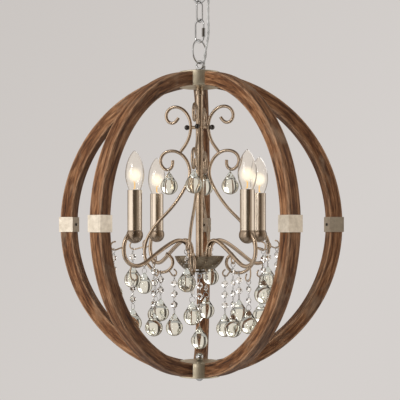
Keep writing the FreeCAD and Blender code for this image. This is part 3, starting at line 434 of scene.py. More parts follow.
# The bowl is the cups' bronze painted darker: painted shade for the dark room below, which its body
# reflects.
BOWL_BRONZE_PAINTED_SHADE = metal_material(
    "bowl_bronze_painted_shade", (0.31, 0.245, 0.17), (0.22, 0.17, 0.115), 0.27, 40, (100, 100, 100)
)
BAND_METAL = metal_material(
    "band_leaf", (0.80, 0.72, 0.60), (0.62, 0.545, 0.44), 0.34, 110, (240, 240, 60), 0.00005, 0.95
)
HUB_METAL = metal_material(
    "hub_bronze", (0.68, 0.60, 0.45), (0.54, 0.465, 0.335), 0.36, 70, (120, 120, 120), 0.0, 0.9
)
CHAIN_STEEL = metal_material(
    "chain_steel", (0.60, 0.60, 0.60), (0.50, 0.50, 0.505), 0.16, 60, (90, 90, 90)
)
BRIGHT_WIRE = metal_material(
    "bright_wire", (0.66, 0.65, 0.63), (0.48, 0.47, 0.46), 0.16, 200, (500, 500, 500)
)
DARK_NUT = metal_material(
    "dark_nut", (0.115, 0.105, 0.10), (0.06, 0.055, 0.05), 0.22, 120, (500, 500, 500)
)
ZINC = metal_material(
    "zinc_plate", (0.60, 0.61, 0.62), (0.42, 0.43, 0.44), 0.38, 90, (200, 200, 200)
)
# The same function also makes two plain finishes that aren't metal.
SOCKET = metal_material(
    "socket_plastic", (0.82, 0.80, 0.74), (0.74, 0.72, 0.66), 0.45, 60, (200, 200, 200), 0.0, 0.0
)
FLOOR_PAINT = metal_material(
    "floor_paint", (0.74, 0.73, 0.72), (0.70, 0.69, 0.68), 0.8, 3.0, (40, 40, 40), 0.0, 0.0
)
floor.data.materials.append(FLOOR_PAINT)

# %% [markdown]
# ## Glass
# The drops are solid glass, so light bends right through them and turns the room upside down. The
# bulbs are thin shells of glass round a glowing filament. Glass keeps a plain transmission number.


# %% Glass, glow and cord materials
def glass_material(name, middle, rim, ior, reach=0.45, ripple=0.0):
    """Clear glass that darkens where it is seen at a slant: partly its own tint where the way through it
    is long, partly painted shade, a dark outline at its rim.
    """
    material, tree, shader = new_material(name, Transmission_Weight=1.0, Roughness=0.0, IOR=ior)
    slant = new_node(tree, "ShaderNodeLayerWeight", Blend=reach)
    tint_and_painted_rim = ramp(tree, slant.outputs["Facing"], (0.30, (*middle, 1)), (0.80, (*rim, 1)))
    link(tree, tint_and_painted_rim, shader["Base Color"])
    if ripple:
        bump(tree, shader, noise(tree, object_place(tree), 55.0, 2.0), ripple, 0.5)
    return material


# The second colour of each glass is its rim: partly tint, partly a painted dark outline.
CRYSTAL = glass_material("solid_glass", (0.97, 0.98, 0.90), (0.25, 0.215, 0.11), 1.50, ripple=0.0010)
BEAD_GLASS = glass_material("bead_crystal", (0.96, 0.96, 0.955), (0.50, 0.48, 0.45), 1.52)
BULB_GLASS = glass_material("bulb_glass", (0.99, 0.98, 0.965), (0.30, 0.25, 0.20), 1.30, 0.30)


def filament_material():
    material, tree, shader = new_material(
        "filament_glow", Base_Color=BLACK, Emission_Strength=1.1
    )
    hotter = noise(tree, object_place(tree), 300.0, 2.0)
    glow = mix_colour(tree, hotter, (1.0, 0.50, 0.10, 1), (1.0, 0.625, 0.125, 1))
    link(tree, glow, shader["Emission Color"])
    return material


def halo_material():
    """A soft glow: brightest where the way through it is longest, and clear before its rim."""
    material, tree, shader = new_material("lamp_halo")
    tree.nodes.remove(tree.nodes["Principled BSDF"])
    clear = tree.nodes.new("ShaderNodeBsdfTransparent")
    glow = new_node(tree, "ShaderNodeEmission", Color=(1.0, 0.88, 0.66, 1), Strength=1.5)
    rim = new_node(tree, "ShaderNodeLayerWeight", Blend=0.5).outputs["Facing"]
    centre = math_node(tree, "POWER", math_node(tree, "SUBTRACT", 1.0, rim), 4.4)
    centre = math_node(tree, "MULTIPLY", centre, 0.62)
    surface = tree.nodes["Material Output"].inputs["Surface"]
    link(tree, mix_shader(tree, centre, clear, glow), surface)
    return material


def sheath_material():
    material, tree, shader = new_material(
        "clear_sheath", Roughness=0.12, IOR=1.45, Base_Color=(0.9, 0.9, 0.88, 1)
    )
    cloudy = noise(tree, object_place(tree), 90.0, 3.0)
    link(tree, between(tree, cloudy, 0.22, 0.38), shader["Alpha"])
    return material


FILAMENT, HALO, SHEATH = filament_material(), halo_material(), sheath_material()
print("made", CRYSTAL.name, BEAD_GLASS.name, BULB_GLASS.name, FILAMENT.name, HALO.name, SHEATH.name)

# %% [markdown]
# ## Shaping tools
# Most pieces are turned on a lathe or bent from rod. `turned` spins an outline about an upright
# line, and `bent_rod` runs a round section along a smooth curve. What stands several times round
# the stem is made once and set out by a Geometry Nodes tree, as a maker would use a jig.

# %% Shaping helpers
MERGE_DISTANCE, ON_THE_AXIS = 1e-6, 1e-9


def shaded(mesh, sharp_angle=35):
    mesh.shade_smooth()
    mesh.set_sharp_from_angle(angle=math.radians(sharp_angle))
    return mesh


def clean(mesh, sharp_angle=35):
    """Merges doubles, turns the faces outwards and shades them smooth up to sharp edges."""
    work = bmesh.new()
    work.from_mesh(mesh)
    bmesh.ops.remove_doubles(work, verts=work.verts, dist=MERGE_DISTANCE)
    bmesh.ops.recalc_face_normals(work, faces=work.faces)
    work.to_mesh(mesh)
    work.free()
    return shaded(mesh, sharp_angle)


def mesh_from(name, work):
    mesh = bpy.data.meshes.new(name)
    work.to_mesh(mesh)
    work.free()
    return mesh


def joined(name, meshes):
    work = bmesh.new()
    for mesh in meshes:
        work.from_mesh(mesh)
    return shaded(mesh_from(name, work))


def skin(rings):
    """Faces from each closed ring of points to the next one; a ring may be a single point."""
    faces = []
    for lower, upper in zip(rings, rings[1:]):
        count = max(len(lower), len(upper))
        for here in range(count):
            ahead = (here + 1) % count
            corners = [lower[here % len(lower)], lower[ahead % len(lower)]]
            corners += [upper[ahead % len(upper)], upper[here % len(upper)]]
            faces.append(tuple(dict.fromkeys(corners)))
    return faces


def turned(name, outline, segments=48, centre=(0.0, 0.0, 0.0), sharp_angle=35):
    """Spins (radius, height) points about an upright line; the outline is open or closed."""
    points, rings = [], []
    for radius, level in outline:
        count = 1 if radius < ON_THE_AXIS else segments
        rings.append(range(len(points), len(points) + count))
        for step in range(count):
            angle = 2 * math.pi * step / segments
            x, y = radius * math.cos(angle), radius * math.sin(angle)
            points.append((centre[0] + x, centre[1] + y, centre[2] + level))
    return clean(new_mesh(name, points, skin(rings)), sharp_angle)


def arc(centre, radius, start, end, steps):
    """Points of an arc as (radius, height), angles in degrees from the horizontal."""
    points = []
    for step in range(steps + 1):
        angle = math.radians(start + (end - start) * step / steps)
        points.append((centre[0] + radius * math.cos(angle), centre[1] + radius * math.sin(angle)))
    return points


def toward(turn, reach, level):
    """The point at this azimuth (0 is the front, 90 is +X), reach and height over the middle."""
    angle = math.radians(turn)
    return Vector((math.sin(angle) * reach, -math.cos(angle) * reach, level))


def curve_mesh(name, routes, wire, kind="NURBS", order=4, resolution=6, closed=False):
    """The mesh of one curve for each route of points, with a round section."""
    curve = bpy.data.curves.new(name, "CURVE")
    curve.dimensions = "3D"
    curve.bevel_depth = wire
    curve.bevel_resolution = 4
    curve.resolution_u = resolution
    curve.use_fill_caps = True
    for route in routes:
        spline = curve.splines.new(kind)
        spline.points.add(len(route) - 1)
        for point, place in zip(spline.points, route):
            point.co = (*place, 1)
        spline.order_u = order
        spline.use_endpoint_u = True
        spline.use_cyclic_u = closed
    holder = new_object(name, curve)
    mesh = bpy.data.meshes.new_from_object(holder)
    bpy.data.objects.remove(holder)
    mesh.name = name
    return mesh


def bent_rod(name, routes, radius, resolution=6):
    """A round bar along smooth curves."""
    return clean(curve_mesh(name, routes, radius, resolution=resolution))


# %% Geometry Nodes: copies round the stem
def copying_tree(name, *more_inputs):
    """A tree that sets copies of its geometry on a line of points and gives them a finish."""
    tree = bpy.data.node_groups.new(name, "GeometryNodeTree")
    sockets = {}
    for label, kind in (("Geometry",) * 2, ("Count", "Int"), ("Finish", "Material"), *more_inputs):
        socket = tree.interface.new_socket(label, in_out="INPUT", socket_type="NodeSocket" + kind)
        sockets[label] = socket.identifier
    tree.interface.new_socket("Geometry", in_out="OUTPUT", socket_type="NodeSocketGeometry")
    given = tree.nodes.new("NodeGroupInput").outputs
    line = new_node(tree, "GeometryNodeMeshLine", Count=given["Count"])
    turn = tree.nodes.new("ShaderNodeCombineXYZ")
    copies = tree.nodes.new("GeometryNodeInstanceOnPoints")
    real = new_node(tree, "GeometryNodeRealizeInstances", Geometry=copies.outputs["Instances"])
    finish = new_node(tree, "GeometryNodeSetMaterial", Geometry=real.outputs[0])
    for source, target in (
        (line.outputs["Mesh"], copies.inputs["Points"]),
        (given["Geometry"], copies.inputs["Instance"]),
        (turn.outputs[0], copies.inputs["Rotation"]),
        (given["Finish"], finish.inputs["Material"]),
        (finish.outputs[0], tree.nodes.new("NodeGroupOutput").inputs[0]),
    ):
        link(tree, source, target)
    return tree, sockets, given, line, turn


AROUND, AROUND_SOCKETS, given, line, turn = copying_tree(
    "set_out_round_the_stem", ("First turn", "Float")
)
line.inputs["Offset"].default_value = (0, 0, 0)
index = AROUND.nodes.new("GeometryNodeInputIndex").outputs[0]
step_turn = math_node(AROUND, "DIVIDE", 2 * math.pi, given["Count"])
copy_turn = math_node(AROUND, "MULTIPLY_ADD", index, step_turn, given["First turn"])
link(AROUND, copy_turn, turn.inputs["Z"])
print("the jig has", len(AROUND.nodes), "nodes")


# %% Placing helpers
def nodes_on(obj, tree, sockets, **values):
    """Runs a tree on an object and keeps the result as its plain mesh."""
    modifier = obj.modifiers.new("set_out", "NODES")
    modifier.node_group = tree
    for label, value in values.items():
        modifier[sockets[label.replace("_", " ")]] = value
    bpy.context.view_layer.update()
    evaluated = obj.evaluated_get(bpy.context.evaluated_depsgraph_get())
    mesh = bpy.data.meshes.new_from_object(evaluated)
    obj.modifiers.clear()
    obj.data = mesh
    return obj


def lowered(mesh):
    """Moves a mesh made about the orb's middle to its place under the ceiling."""
    mesh.transform(Matrix.Translation((0, 0, MIDDLE)))
    return mesh


def stands_for(obj, body, *names, slot=None):
    """This piece rides on the body and stands for the CAD nodes, which it hides; the slot is not used."""
    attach(obj, body)
    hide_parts(*names)
    print(obj.name, len(obj.data.polygons), "faces")
    return obj


def piece(name, mesh, material, body, node, slot=None):
    mesh.materials.append(material)
    return stands_for(new_object(name, mesh), body, node, slot=slot)


# %% [markdown]
# ## Ribs
# Each rib is a square strip bent to a half circle in two halves that meet inside a metal band. The
# section has softly rounded edges, which catch a thin light. The strip is swept by hand, so that
# every point can note how far along the strip it lies: the wood material reads that.

# %% Ribs
RIB_COUNT, RIB_TURN, RIB_STEPS = 5, -38, 56
RIB_OUTER, RIB_DEPTH, RIB_WIDTH = 265 * MM, 24 * MM, 24 * MM
# Each rounded edge has a band where the wood paints a dark line of shade and a lighter edge.
RIB_EDGE, EDGE_BAND, JOINT_GAP = 1.8 * MM, 2.6 * MM, 0.3 * MM
HUB_RADIUS = 36 * MM
GRAIN_SHIFTS = (1.7, 0.31, 0.07)  # no two ribs show the same stretch of grain


def rounded_square(width, depth, edge, steps=3):
    """A square section as (across, outwards, edge mark), where the edge mark is 1 on a rounded edge; the
    wood paints a line of shade beside it and chafed wood with a painted highlight on it.
    """
    points = []
    for corner, (x, y) in enumerate(((1, 1), (-1, 1), (-1, -1), (1, -1))):
        middle = (x * (width / 2 - edge), y * (depth / 2 - edge))
        for step in range(-1, steps + 2):
            turn = math.radians(90 * corner + 90 * min(max(step, 0), steps) / steps)
            flat = EDGE_BAND if step < 0 else -EDGE_BAND if step > steps else 0.0
            across = middle[0] + edge * math.cos(turn) + math.sin(turn) * flat
            outwards = middle[1] + edge * math.sin(turn) - math.cos(turn) * flat
            points.append((across, outwards, 0.0 if flat else 1.0))
    return points


def rib_half(side, number):
    """Half a rib at azimuth 0, from the equator to the hub, with its grain coordinates."""
    section = rounded_square(RIB_WIDTH, RIB_DEPTH, RIB_EDGE)
    middle = RIB_OUTER - RIB_DEPTH / 2
    start = JOINT_GAP / middle
    by_rib, across_rib, by_half = GRAIN_SHIFTS
    work = bmesh.new()
    grain = work.verts.layers.float_vector.new("grain")
    edge = work.verts.layers.float.new("edge")
    rings = []
    for step in range(RIB_STEPS + 1):
        ring = []
        for across, out, edge_mark in section:
            end = math.acos(math.sqrt(HUB_RADIUS**2 - across**2) / (middle + out))
            angle = start + (end - start) * step / RIB_STEPS
            reach, level = (middle + out) * math.cos(angle), (middle + out) * math.sin(angle)
            vert = work.verts.new((across, -reach, side * level))
            along = side * angle * middle + number * by_rib
            vert[grain] = (along, across + number * across_rib, out + side * by_half)
            vert[edge] = edge_mark
            ring.append(vert)
        rings.append(ring)
    for face in skin(rings) + [rings[0], rings[-1]]:
        work.faces.new(face)
    return mesh_from("rib_half", work)


def ribs(side, name, node):
    work = bmesh.new()
    for number in range(RIB_COUNT):
        half = rib_half(side, number if side > 0 else number + RIB_COUNT)
        turn = RIB_TURN + 360 / RIB_COUNT * number
        half.transform(Matrix.Rotation(math.radians(turn), 4, "Z"))
        work.from_mesh(half)
    mesh = clean(mesh_from(name, work), 40)
    return piece(name, lowered(mesh), WOOD, "fixture", node)


ribs(1, "wooden_ribs_upper", "ribs_upper")
ribs(-1, "wooden_ribs_lower", "ribs_lower")

# %% [markdown]
# ## Bands and hubs
# A sheet metal sleeve hides the joint of each rib, and a round drum takes the rib ends at the top
# and the bottom. The bands' CAD solids have the right shape, so they stay, with a rubbed finish.
# The drums are turned again with small flats on their edges, which give them a thin bright line.


# %% Finish CAD pieces
def finish(names, material):
    for name in names:
        mesh = nodes[name].data
        mesh.materials.clear()
        mesh.materials.append(material)


finish(["rib_bands"], BAND_METAL)
finish(["band_screws"], DARK_NUT)
finish(["ceiling_bracket", "canopy_nipple", "threaded_pipe"], ZINC)
finish(["rod_studs"], CHAMPAGNE)
finish(["lamp_sockets"], SOCKET)

# %% Hubs
HUB_HEIGHT, PLATE_RADIUS, PLATE_HEIGHT = 24 * MM, 35 * MM, 2.4 * MM
FLAT_SHARE = 0.4  # the most that one flat may take of a side
STEM_TOP = RIB_OUTER - HUB_HEIGHT - PLATE_HEIGHT


def softened(corners, edge=0.6 * MM):
    """Cuts each corner of a turned outline by a small flat, as a file would."""
    points = []
    for before, corner, after in zip(corners[-1:] + corners, corners, corners[1:] + corners[:1]):
        if corner[0] < ON_THE_AXIS:
            points.append(corner)
            continue
        here = Vector(corner)
        for other in (before, after):
            run = Vector(other) - here
            points.append(tuple(here + run.normalized() * min(edge, run.length * FLAT_SHARE)))
    return points


def turned_piece(name, outline, node, material, segments=64):
    mesh = turned(name, outline, segments, (0, 0, MIDDLE))
    return piece(name, mesh, material, "fixture", node)


def hub(side, name, node):
    face, inner, under = side * RIB_OUTER, side * (RIB_OUTER - HUB_HEIGHT), side * STEM_TOP
    corners = [(0, face), (HUB_RADIUS, face), (HUB_RADIUS, inner), (PLATE_RADIUS, inner)]
    corners += [(PLATE_RADIUS, under), (0, under)]
    return turned_piece(name, softened(corners), node, HUB_METAL, 96)


hub(1, "top_drum", "top_hub")
hub(-1, "bottom_drum", "bottom_hub")

# %% [markdown]
# ## Stem, bowl and bottom fittings
# These are turned and spun pieces. An outline of a few points is enough for each of them, with
# arcs where the real piece is round.

# %% Stem
STEM_RADIUS, BOWL_FLOOR = 6.5 * MM, -76.5 * MM
FERRULE_RADIUS, FERRULE_LOW, FERRULE_HIGH = 8.1 * MM, STEM_TOP - 13 * MM, STEM_TOP - 6 * MM
stem_outline = [(0, BOWL_FLOOR), (STEM_RADIUS, BOWL_FLOOR), (STEM_RADIUS, FERRULE_LOW)]
stem_outline += [(FERRULE_RADIUS, FERRULE_LOW), (FERRULE_RADIUS, FERRULE_HIGH)]
stem_outline += [(STEM_RADIUS, FERRULE_HIGH), (STEM_RADIUS, STEM_TOP), (0, STEM_TOP)]
turned_piece("stem_tube", softened(stem_outline, 0.4 * MM), "stem", CHAMPAGNE)

# %% Bowl and the outline of the finial under it
RIM_RADIUS, FLOOR_RADIUS, BOWL_WALL = 43.5 * MM, 27 * MM, 1.5 * MM
BOWL_LOW, BOWL_HIGH, BOWL_BULGE = -78 * MM, -55.5 * MM, 2.6 * MM
BELLY_STEPS = 12


def bowl_side(inset, low):
    """The bowl's wall from its floor to its rim, a little rounded, as (radius, height)."""
    points = []
    for step in range(BELLY_STEPS + 1):
        t = step / BELLY_STEPS
        radius = FLOOR_RADIUS + (RIM_RADIUS - FLOOR_RADIUS) * t + BOWL_BULGE * math.sin(math.pi * t)
        points.append((radius - inset, low + (BOWL_HIGH - low) * t))
    return points


inner_low = BOWL_LOW + BOWL_WALL
bowl_outline = [(0, BOWL_LOW)] + bowl_side(0, BOWL_LOW) + bowl_side(BOWL_WALL, inner_low)[::-1]
turned_piece("spun_bowl", bowl_outline + [(0, inner_low)], "bowl", BOWL_BRONZE_PAINTED_SHADE, 96)

CAP_RADIUS, CAP_HEIGHT, BEAD_RADIUS = 9.25 * MM, 2.4 * MM, 3.6 * MM
FINIAL_RADIUS, FINIAL_LOW, FINIAL_EDGE = 5 * MM, -87 * MM, 0.8 * MM
bead_centre = (CAP_RADIUS - 1.0 * MM, BOWL_LOW - 6.5 * MM)
finial_outline = [(0, BOWL_LOW), (CAP_RADIUS, BOWL_LOW), (CAP_RADIUS, BOWL_LOW - CAP_HEIGHT)]
finial_outline += arc(bead_centre, BEAD_RADIUS, 60, -30, 5)
finial_outline += [(FINIAL_RADIUS, FINIAL_LOW + FINIAL_EDGE)]
finial_outline += [(FINIAL_RADIUS - FINIAL_EDGE, FINIAL_LOW), (0, FINIAL_LOW)]

# %% Bottom nut and finial
NUT_RADIUS, NUT_SHARE, DOME_RADIUS, DOME_HEIGHT = 7.5 * MM, 0.86, 7 * MM, 8.5 * MM
nut_centre = (0, NUT_SHARE * NUT_RADIUS - STEM_TOP)
nut_outline = [(0, -STEM_TOP)] + arc(nut_centre, NUT_RADIUS, -59, 90, 18)
turned_piece("inner_ball_nut", nut_outline, "bottom_nut", CHAIN_STEEL, 48)
dome_side = -RIB_OUTER - DOME_HEIGHT + DOME_RADIUS
dome_outline = [(0, -RIB_OUTER), (DOME_RADIUS, -RIB_OUTER), (DOME_RADIUS, dome_side)]
dome_outline += arc((0, dome_side), DOME_RADIUS, 0, -90, 12)
turned_piece("bottom_dome", dome_outline, "bottom_finial", CHAIN_STEEL, 48)

# %% [markdown]
# ## Scroll rods and lamp arms
# Studs hold four rods to the stem, which curl in two scrolls down to the bowl. Four arms swing out
# of the bowl to the lamps. Both are bent from round stock, so a smooth curve with a round section
# gives their shape. One is bent, and a jig of Geometry Nodes sets out all four.

# %% Rods
ROD_COUNT, ROD_TURN, ARM_TURN = 4, -10, 36
ROD_RADIUS, ARM_RADIUS, HOOK_RADIUS = 2.75 * MM, 3.5 * MM, 1.3 * MM
UPPER_SCROLL = [
    (37.2, 186.5), (41.5, 179.0), (49.0, 175.6), (56.5, 179.6), (60.0, 188.0), (58.4, 197.0),
    (52.0, 203.8), (42.9, 206.4), (31.5, 203.0), (22.4, 194.2), (16.9, 183.0), (15.4, 172.0),
    (16.2, 161.0), (18.8, 149.6), (24.6, 138.2), (33.6, 127.0),
]
LOWER_SCROLL = [
    (47.9, 112.0), (46.6, 101.8), (54.0, 93.4), (64.0, 96.8), (70.0, 107.0), (69.2, 118.0),
    (62.0, 126.4), (49.1, 129.6), (35.4, 125.8), (24.6, 115.8), (18.2, 102.4), (16.4, 88.0),
    (20.8, 73.0), (28.6, 58.6), (39.0, 42.0), (53.0, 24.6), (69.4, 9.0), (83.6, -7.2),
    (93.8, -24.4), (98.6, -40.6), (98.4, -56.6), (93.6, -69.2), (85.0, -79.2), (75.0, -84.6),
    (64.0, -84.6), (54.6, -81.2), (47.8, -73.0), (46.6, -63.4), (51.0, -55.6), (59.6, -51.0),
]
ARM = [
    (21.5, -76.5), (21.5, -58.0), (22.4, -43.0), (28.0, -31.6), (40.0, -27.0), (54.0, -29.0),
    (75.0, -40.6), (92.6, -52.0), (108.5, -63.0), (121.2, -69.6), (133.4, -71.0), (145.4, -66.6),
    (153.6, -57.0), (156.4, -44.6), (155.0, -31.6), (150.0, -19.8), (141.0, -14.6),
]


def route_at(turn, points):
    return [toward(turn, reach * MM, level * MM) for reach, level in points]


def set_out(name, mesh, first_turn, node, material, slot=None):
    """A mesh made at azimuth 0, copied round the stem by the jig."""
    obj = nodes_on(
        new_object(name, lowered(mesh)), AROUND, AROUND_SOCKETS, Count=ROD_COUNT,
        First_turn=math.radians(first_turn), Finish=material,
    )
    return stands_for(obj, "fixture", node, slot=slot)


rods = bent_rod("scroll_pair", [route_at(0, UPPER_SCROLL), route_at(0, LOWER_SCROLL)], ROD_RADIUS)
set_out("bent_scroll_rods", rods, ROD_TURN, "scroll_rods", CHAMPAGNE)
arms = bent_rod("one_arm", [route_at(0, ARM)], ARM_RADIUS)
set_out("bent_lamp_arms", arms, ARM_TURN, "lamp_arms", CHAMPAGNE)

# %% Ball nuts on the studs
STUD_LEVEL, BALL_NUT_REACH, BALL_NUT_RADIUS = 169 * MM, 22.3 * MM, 4.5 * MM
nut = turned("nut", arc((0, 0), BALL_NUT_RADIUS, -90, 90, 14), 24)
nut.transform(Matrix.Translation(toward(0, BALL_NUT_REACH, STUD_LEVEL)))
set_out("dark_ball_nuts", nut, ROD_TURN, "ball_nuts", DARK_NUT)

# %% [markdown]
# ## Hooks
# Thin curled wires are welded under the arms and rods, and the strands hang on them. Not every arm
# has the same hooks, so they are bent one by one from a list of places.

# %% Hooks
ROD_SIDE_HOOK = [
    (98.0, -39.6), (106.0, -41.0), (113.0, -43.6), (119.6, -44.6), (124.8, -41.0), (125.2, -35.0),
    (121.6, -30.6), (115.6, -30.2),
]
ARM_SIDE_HOOK = [
    (156.4, -38.6), (163.0, -40.0), (169.0, -42.6), (175.6, -43.6), (180.8, -40.0), (181.2, -34.0),
    (177.6, -29.6), (171.6, -29.2),
]
ARM_FOOT_HOOK = [
    (140.4, -68.6), (143.0, -78.0), (142.8, -88.0), (137.6, -95.4), (130.4, -94.6), (128.0, -88.0),
    (132.4, -82.8),
]
ROD_FOOT_HOOK = [
    (55.6, -80.4), (52.0, -84.0), (49.6, -89.0), (44.8, -91.6), (40.2, -87.6), (40.8, -81.6),
    (45.8, -78.6),
]
ARM_SLOPE_EYE = [
    (91.6, -51.6), (90.4, -58.6), (91.6, -64.4), (95.6, -67.2), (99.6, -64.8), (101.0, -59.6),
    (99.6, -56.8),
]
arm_turns = [ARM_TURN + 360 / ROD_COUNT * step for step in range(ROD_COUNT)]
rod_turns = [ROD_TURN + 360 / ROD_COUNT * step for step in range(ROD_COUNT)]
front_arms, side_rods = (arm_turns[0], arm_turns[3]), (rod_turns[1], rod_turns[3])


def hook_set(name, plan, node):
    wires = bent_rod(name, [route_at(turn, points) for turn, points in plan], HOOK_RADIUS)
    return piece(name, lowered(wires), CHAMPAGNE, "fixture", node)


arm_plan = [(turn, points) for turn in arm_turns for points in (ARM_SIDE_HOOK, ARM_FOOT_HOOK)]
arm_plan += [(turn, ARM_SLOPE_EYE) for turn in front_arms]
rod_plan = [(turn, ROD_SIDE_HOOK) for turn in rod_turns] + [(turn, ROD_FOOT_HOOK) for turn in side_rods]
hook_set("curled_arm_hooks", arm_plan, "arm_hooks")
hook_set("curled_rod_hooks", rod_plan, "rod_hooks")

# %% [markdown]
# ## Lamps
# Each lamp is a ball cup, a straight brushed sleeve and a clear bulb. The bulb is a thin shell, so
# its outline goes up on the outside and comes back down on the inside. A filament glows in it, and
# a soft halo round the filament stands for the light that a camera sees bloom there.

# %% Cups and sleeves
LAMP_REACH = 134 * MM
CUP_RADIUS, CUP_CENTRE, CUP_TOP = 14.0 * MM, -18.53 * MM, -11 * MM
SLEEVE_RADIUS, SLEEVE_TOP, SLEEVE_WALL = 12.2 * MM, 57 * MM, 1.0 * MM


def lamp_piece(name, mesh, node, material, slot=None):
    """A piece turned about the lamp's own line, set out on the four arms."""
    mesh.transform(Matrix.Translation(toward(0, LAMP_REACH, 0)))
    return set_out(name, mesh, ARM_TURN, node, material, slot)


cup_lip = math.degrees(math.asin((CUP_TOP - CUP_CENTRE) / CUP_RADIUS))
cup_outline = arc((0, CUP_CENTRE), CUP_RADIUS, -90, cup_lip, 22) + [(0, CUP_TOP)]
lamp_piece("ball_cups", turned("cup", cup_outline), "lamp_cups", CUP_METAL)
bore = SLEEVE_RADIUS - SLEEVE_WALL
sleeve_outline = [(bore, CUP_TOP), (SLEEVE_RADIUS, CUP_TOP), (SLEEVE_RADIUS, SLEEVE_TOP)]
sleeve_outline = softened(sleeve_outline + [(bore, SLEEVE_TOP)], 0.3 * MM)
sleeve = turned("sleeve", sleeve_outline + sleeve_outline[:1], 64)
lamp_piece("brushed_sleeves", sleeve, "candle_sleeves", BRUSHED)

# %% Bulbs
BULB_START, BULB_HEIGHT, BULB_RADIUS, BULB_NECK = SLEEVE_TOP, 66 * MM, 16 * MM, 9.8 * MM
WIDEST, FULLNESS, BULB_STEPS = 0.39, 0.74, 30
BULB_WALL, NECK_IN_SLEEVE = 0.55 * MM, 2.5 * MM
TIP_FLAT, TIP_DROP = 0.7 * MM, 0.3 * MM


def bulb_radius(t):
    """A torpedo bulb: a narrow neck, a full belly low down and a drawn tip."""
    if t < WIDEST:
        return BULB_NECK + (BULB_RADIUS - BULB_NECK) * math.sin(0.5 * math.pi * t / WIDEST)
    fall = (t - WIDEST) / (1 - WIDEST)
    return BULB_RADIUS * (1 - fall**2) ** FULLNESS


def bulb_shell():
    outside = [(BULB_NECK, BULB_START - NECK_IN_SLEEVE)]
    for step in range(BULB_STEPS):
        t = math.sin(0.5 * math.pi * step / BULB_STEPS)
        outside.append((bulb_radius(t), BULB_START + BULB_HEIGHT * t))
    inside = [(radius - BULB_WALL, level) for radius, level in outside if radius > 3 * BULB_WALL]
    tip = BULB_START + BULB_HEIGHT
    shell = turned("outside", outside + [(TIP_FLAT, tip - TIP_DROP), (0, tip)], 40)
    lining = turned("inside", inside + [(0, tip - 4 * BULB_WALL)], 40)
    lining.flip_normals()
    return joined("bulb", [shell, lining])


BASE_RADIUS, BASE_LOW, BASE_FLARE = 5.8 * MM, 33 * MM, 2.5 * MM
base_top = BULB_START - NECK_IN_SLEEVE - 0.2 * MM
base_outline = [(0, BASE_LOW), (BASE_RADIUS, BASE_LOW), (BASE_RADIUS, base_top - BASE_FLARE)]
base_outline = softened(base_outline + [(BULB_NECK - BULB_WALL, base_top)]) + [(0, base_top)]
base = turned("base", base_outline, 32)
lamp_piece("clear_bulbs", bulb_shell(), "bulbs", BULB_GLASS)
lamp_piece("bulb_bases", base, "bulbs", CHAIN_STEEL, "chain_steel")

# %% Filaments and their halos
WIRE_LEVEL, WIRE_TALL, WIRE_WIDE = SLEEVE_TOP + 8 * MM, 12 * MM, 6 * MM
WIRE_RADIUS, WIRE_TURNS = 0.7 * MM, 4
GLOW_LEVEL, GLOW_TALL, GLOW_RADIUS, GLOW_STEPS = SLEEVE_TOP + 25 * MM, 15.5 * MM, 14.9 * MM, 24
zigzag = []
for step in range(2 * WIRE_TURNS + 1):
    across = WIRE_WIDE / 2 if step % 2 else -WIRE_WIDE / 2
    level = WIRE_LEVEL + WIRE_TALL * (step / WIRE_TURNS - 1) / 2
    zigzag.append(toward(0, LAMP_REACH, level) + Vector((across, 0, 0)))
set_out("filaments", bent_rod("filament", [zigzag], WIRE_RADIUS, 3), ARM_TURN, "bulbs", FILAMENT)
halo_outline = []
for step in range(GLOW_STEPS + 1):
    angle = math.radians(180 * step / GLOW_STEPS - 90)
    halo_outline.append((GLOW_RADIUS * math.cos(angle), GLOW_LEVEL + GLOW_TALL * math.sin(angle)))
lamp_piece("lamp_halos", turned("halo", halo_outline, 32), "bulbs", HALO)

# %% [markdown]
# ## Glass strands
# A strand is a wire ring over a hook, a few flat octagonal beads and a heavy glass ball. Its joint
# in the CAD frame tells where it hangs and which way its ring faces, and its length tells how many
# beads it has. The beads repeat down a line, which Geometry Nodes set out; the ball is turned.

# %% Pieces of a strand
RING_RADIUS, RING_WIRE = 4.2 * MM, 0.6 * MM
BALL_RING_RADIUS, BALL_RING_WIRE = 5.0 * MM, 0.5 * MM
BEAD_HALF, BEAD_TABLE, BEAD_SIDES = 5.75 * MM, 2.9 * MM, 8
BEAD_PROFILE = [(BEAD_TABLE, -3 * MM), (BEAD_HALF, -0.4 * MM), (BEAD_HALF, 0.4 * MM), (BEAD_TABLE, 3 * MM)]
PIN_SHOWING, PIN_RADIUS, PIN_HALF, RING_ROOM = 7 * MM, 0.38 * MM, 1.5 * MM, 1.6 * MM
BEAD_PITCH = 2 * BEAD_HALF + PIN_SHOWING
BALL_RADIUS, TIP_HEIGHT, TIP_RADIUS, HOLE_LEVEL = 15 * MM, 25 * MM, 2.4 * MM, 22.8 * MM
NECK_END, NECK_HOLLOW, NECK_STEPS = TIP_HEIGHT - 1.6 * MM, 0.2 * MM, 9
BARE_DROP = BALL_RING_RADIUS + BALL_RING_WIRE + BALL_RING_RADIUS + HOLE_LEVEL + BALL_RADIUS


def ball_outline():
    """A ball drawn up into a slightly hollow neck with a round tip."""
    lean = math.asin((BALL_RADIUS - TIP_RADIUS) / TIP_HEIGHT)
    points = arc((0, 0), BALL_RADIUS, -90, math.degrees(lean), 26)
    radius, level = points[-1]
    for step in range(1, NECK_STEPS):
        t = step / NECK_STEPS
        hollow = NECK_HOLLOW * math.sin(math.pi * t)
        points.append((radius + (TIP_RADIUS - radius) * t - hollow, level + (NECK_END - level) * t))
    points += arc((0, TIP_HEIGHT - TIP_RADIUS), TIP_RADIUS, 10, 90, 4)[:-1]
    return points + [(0, TIP_HEIGHT)]


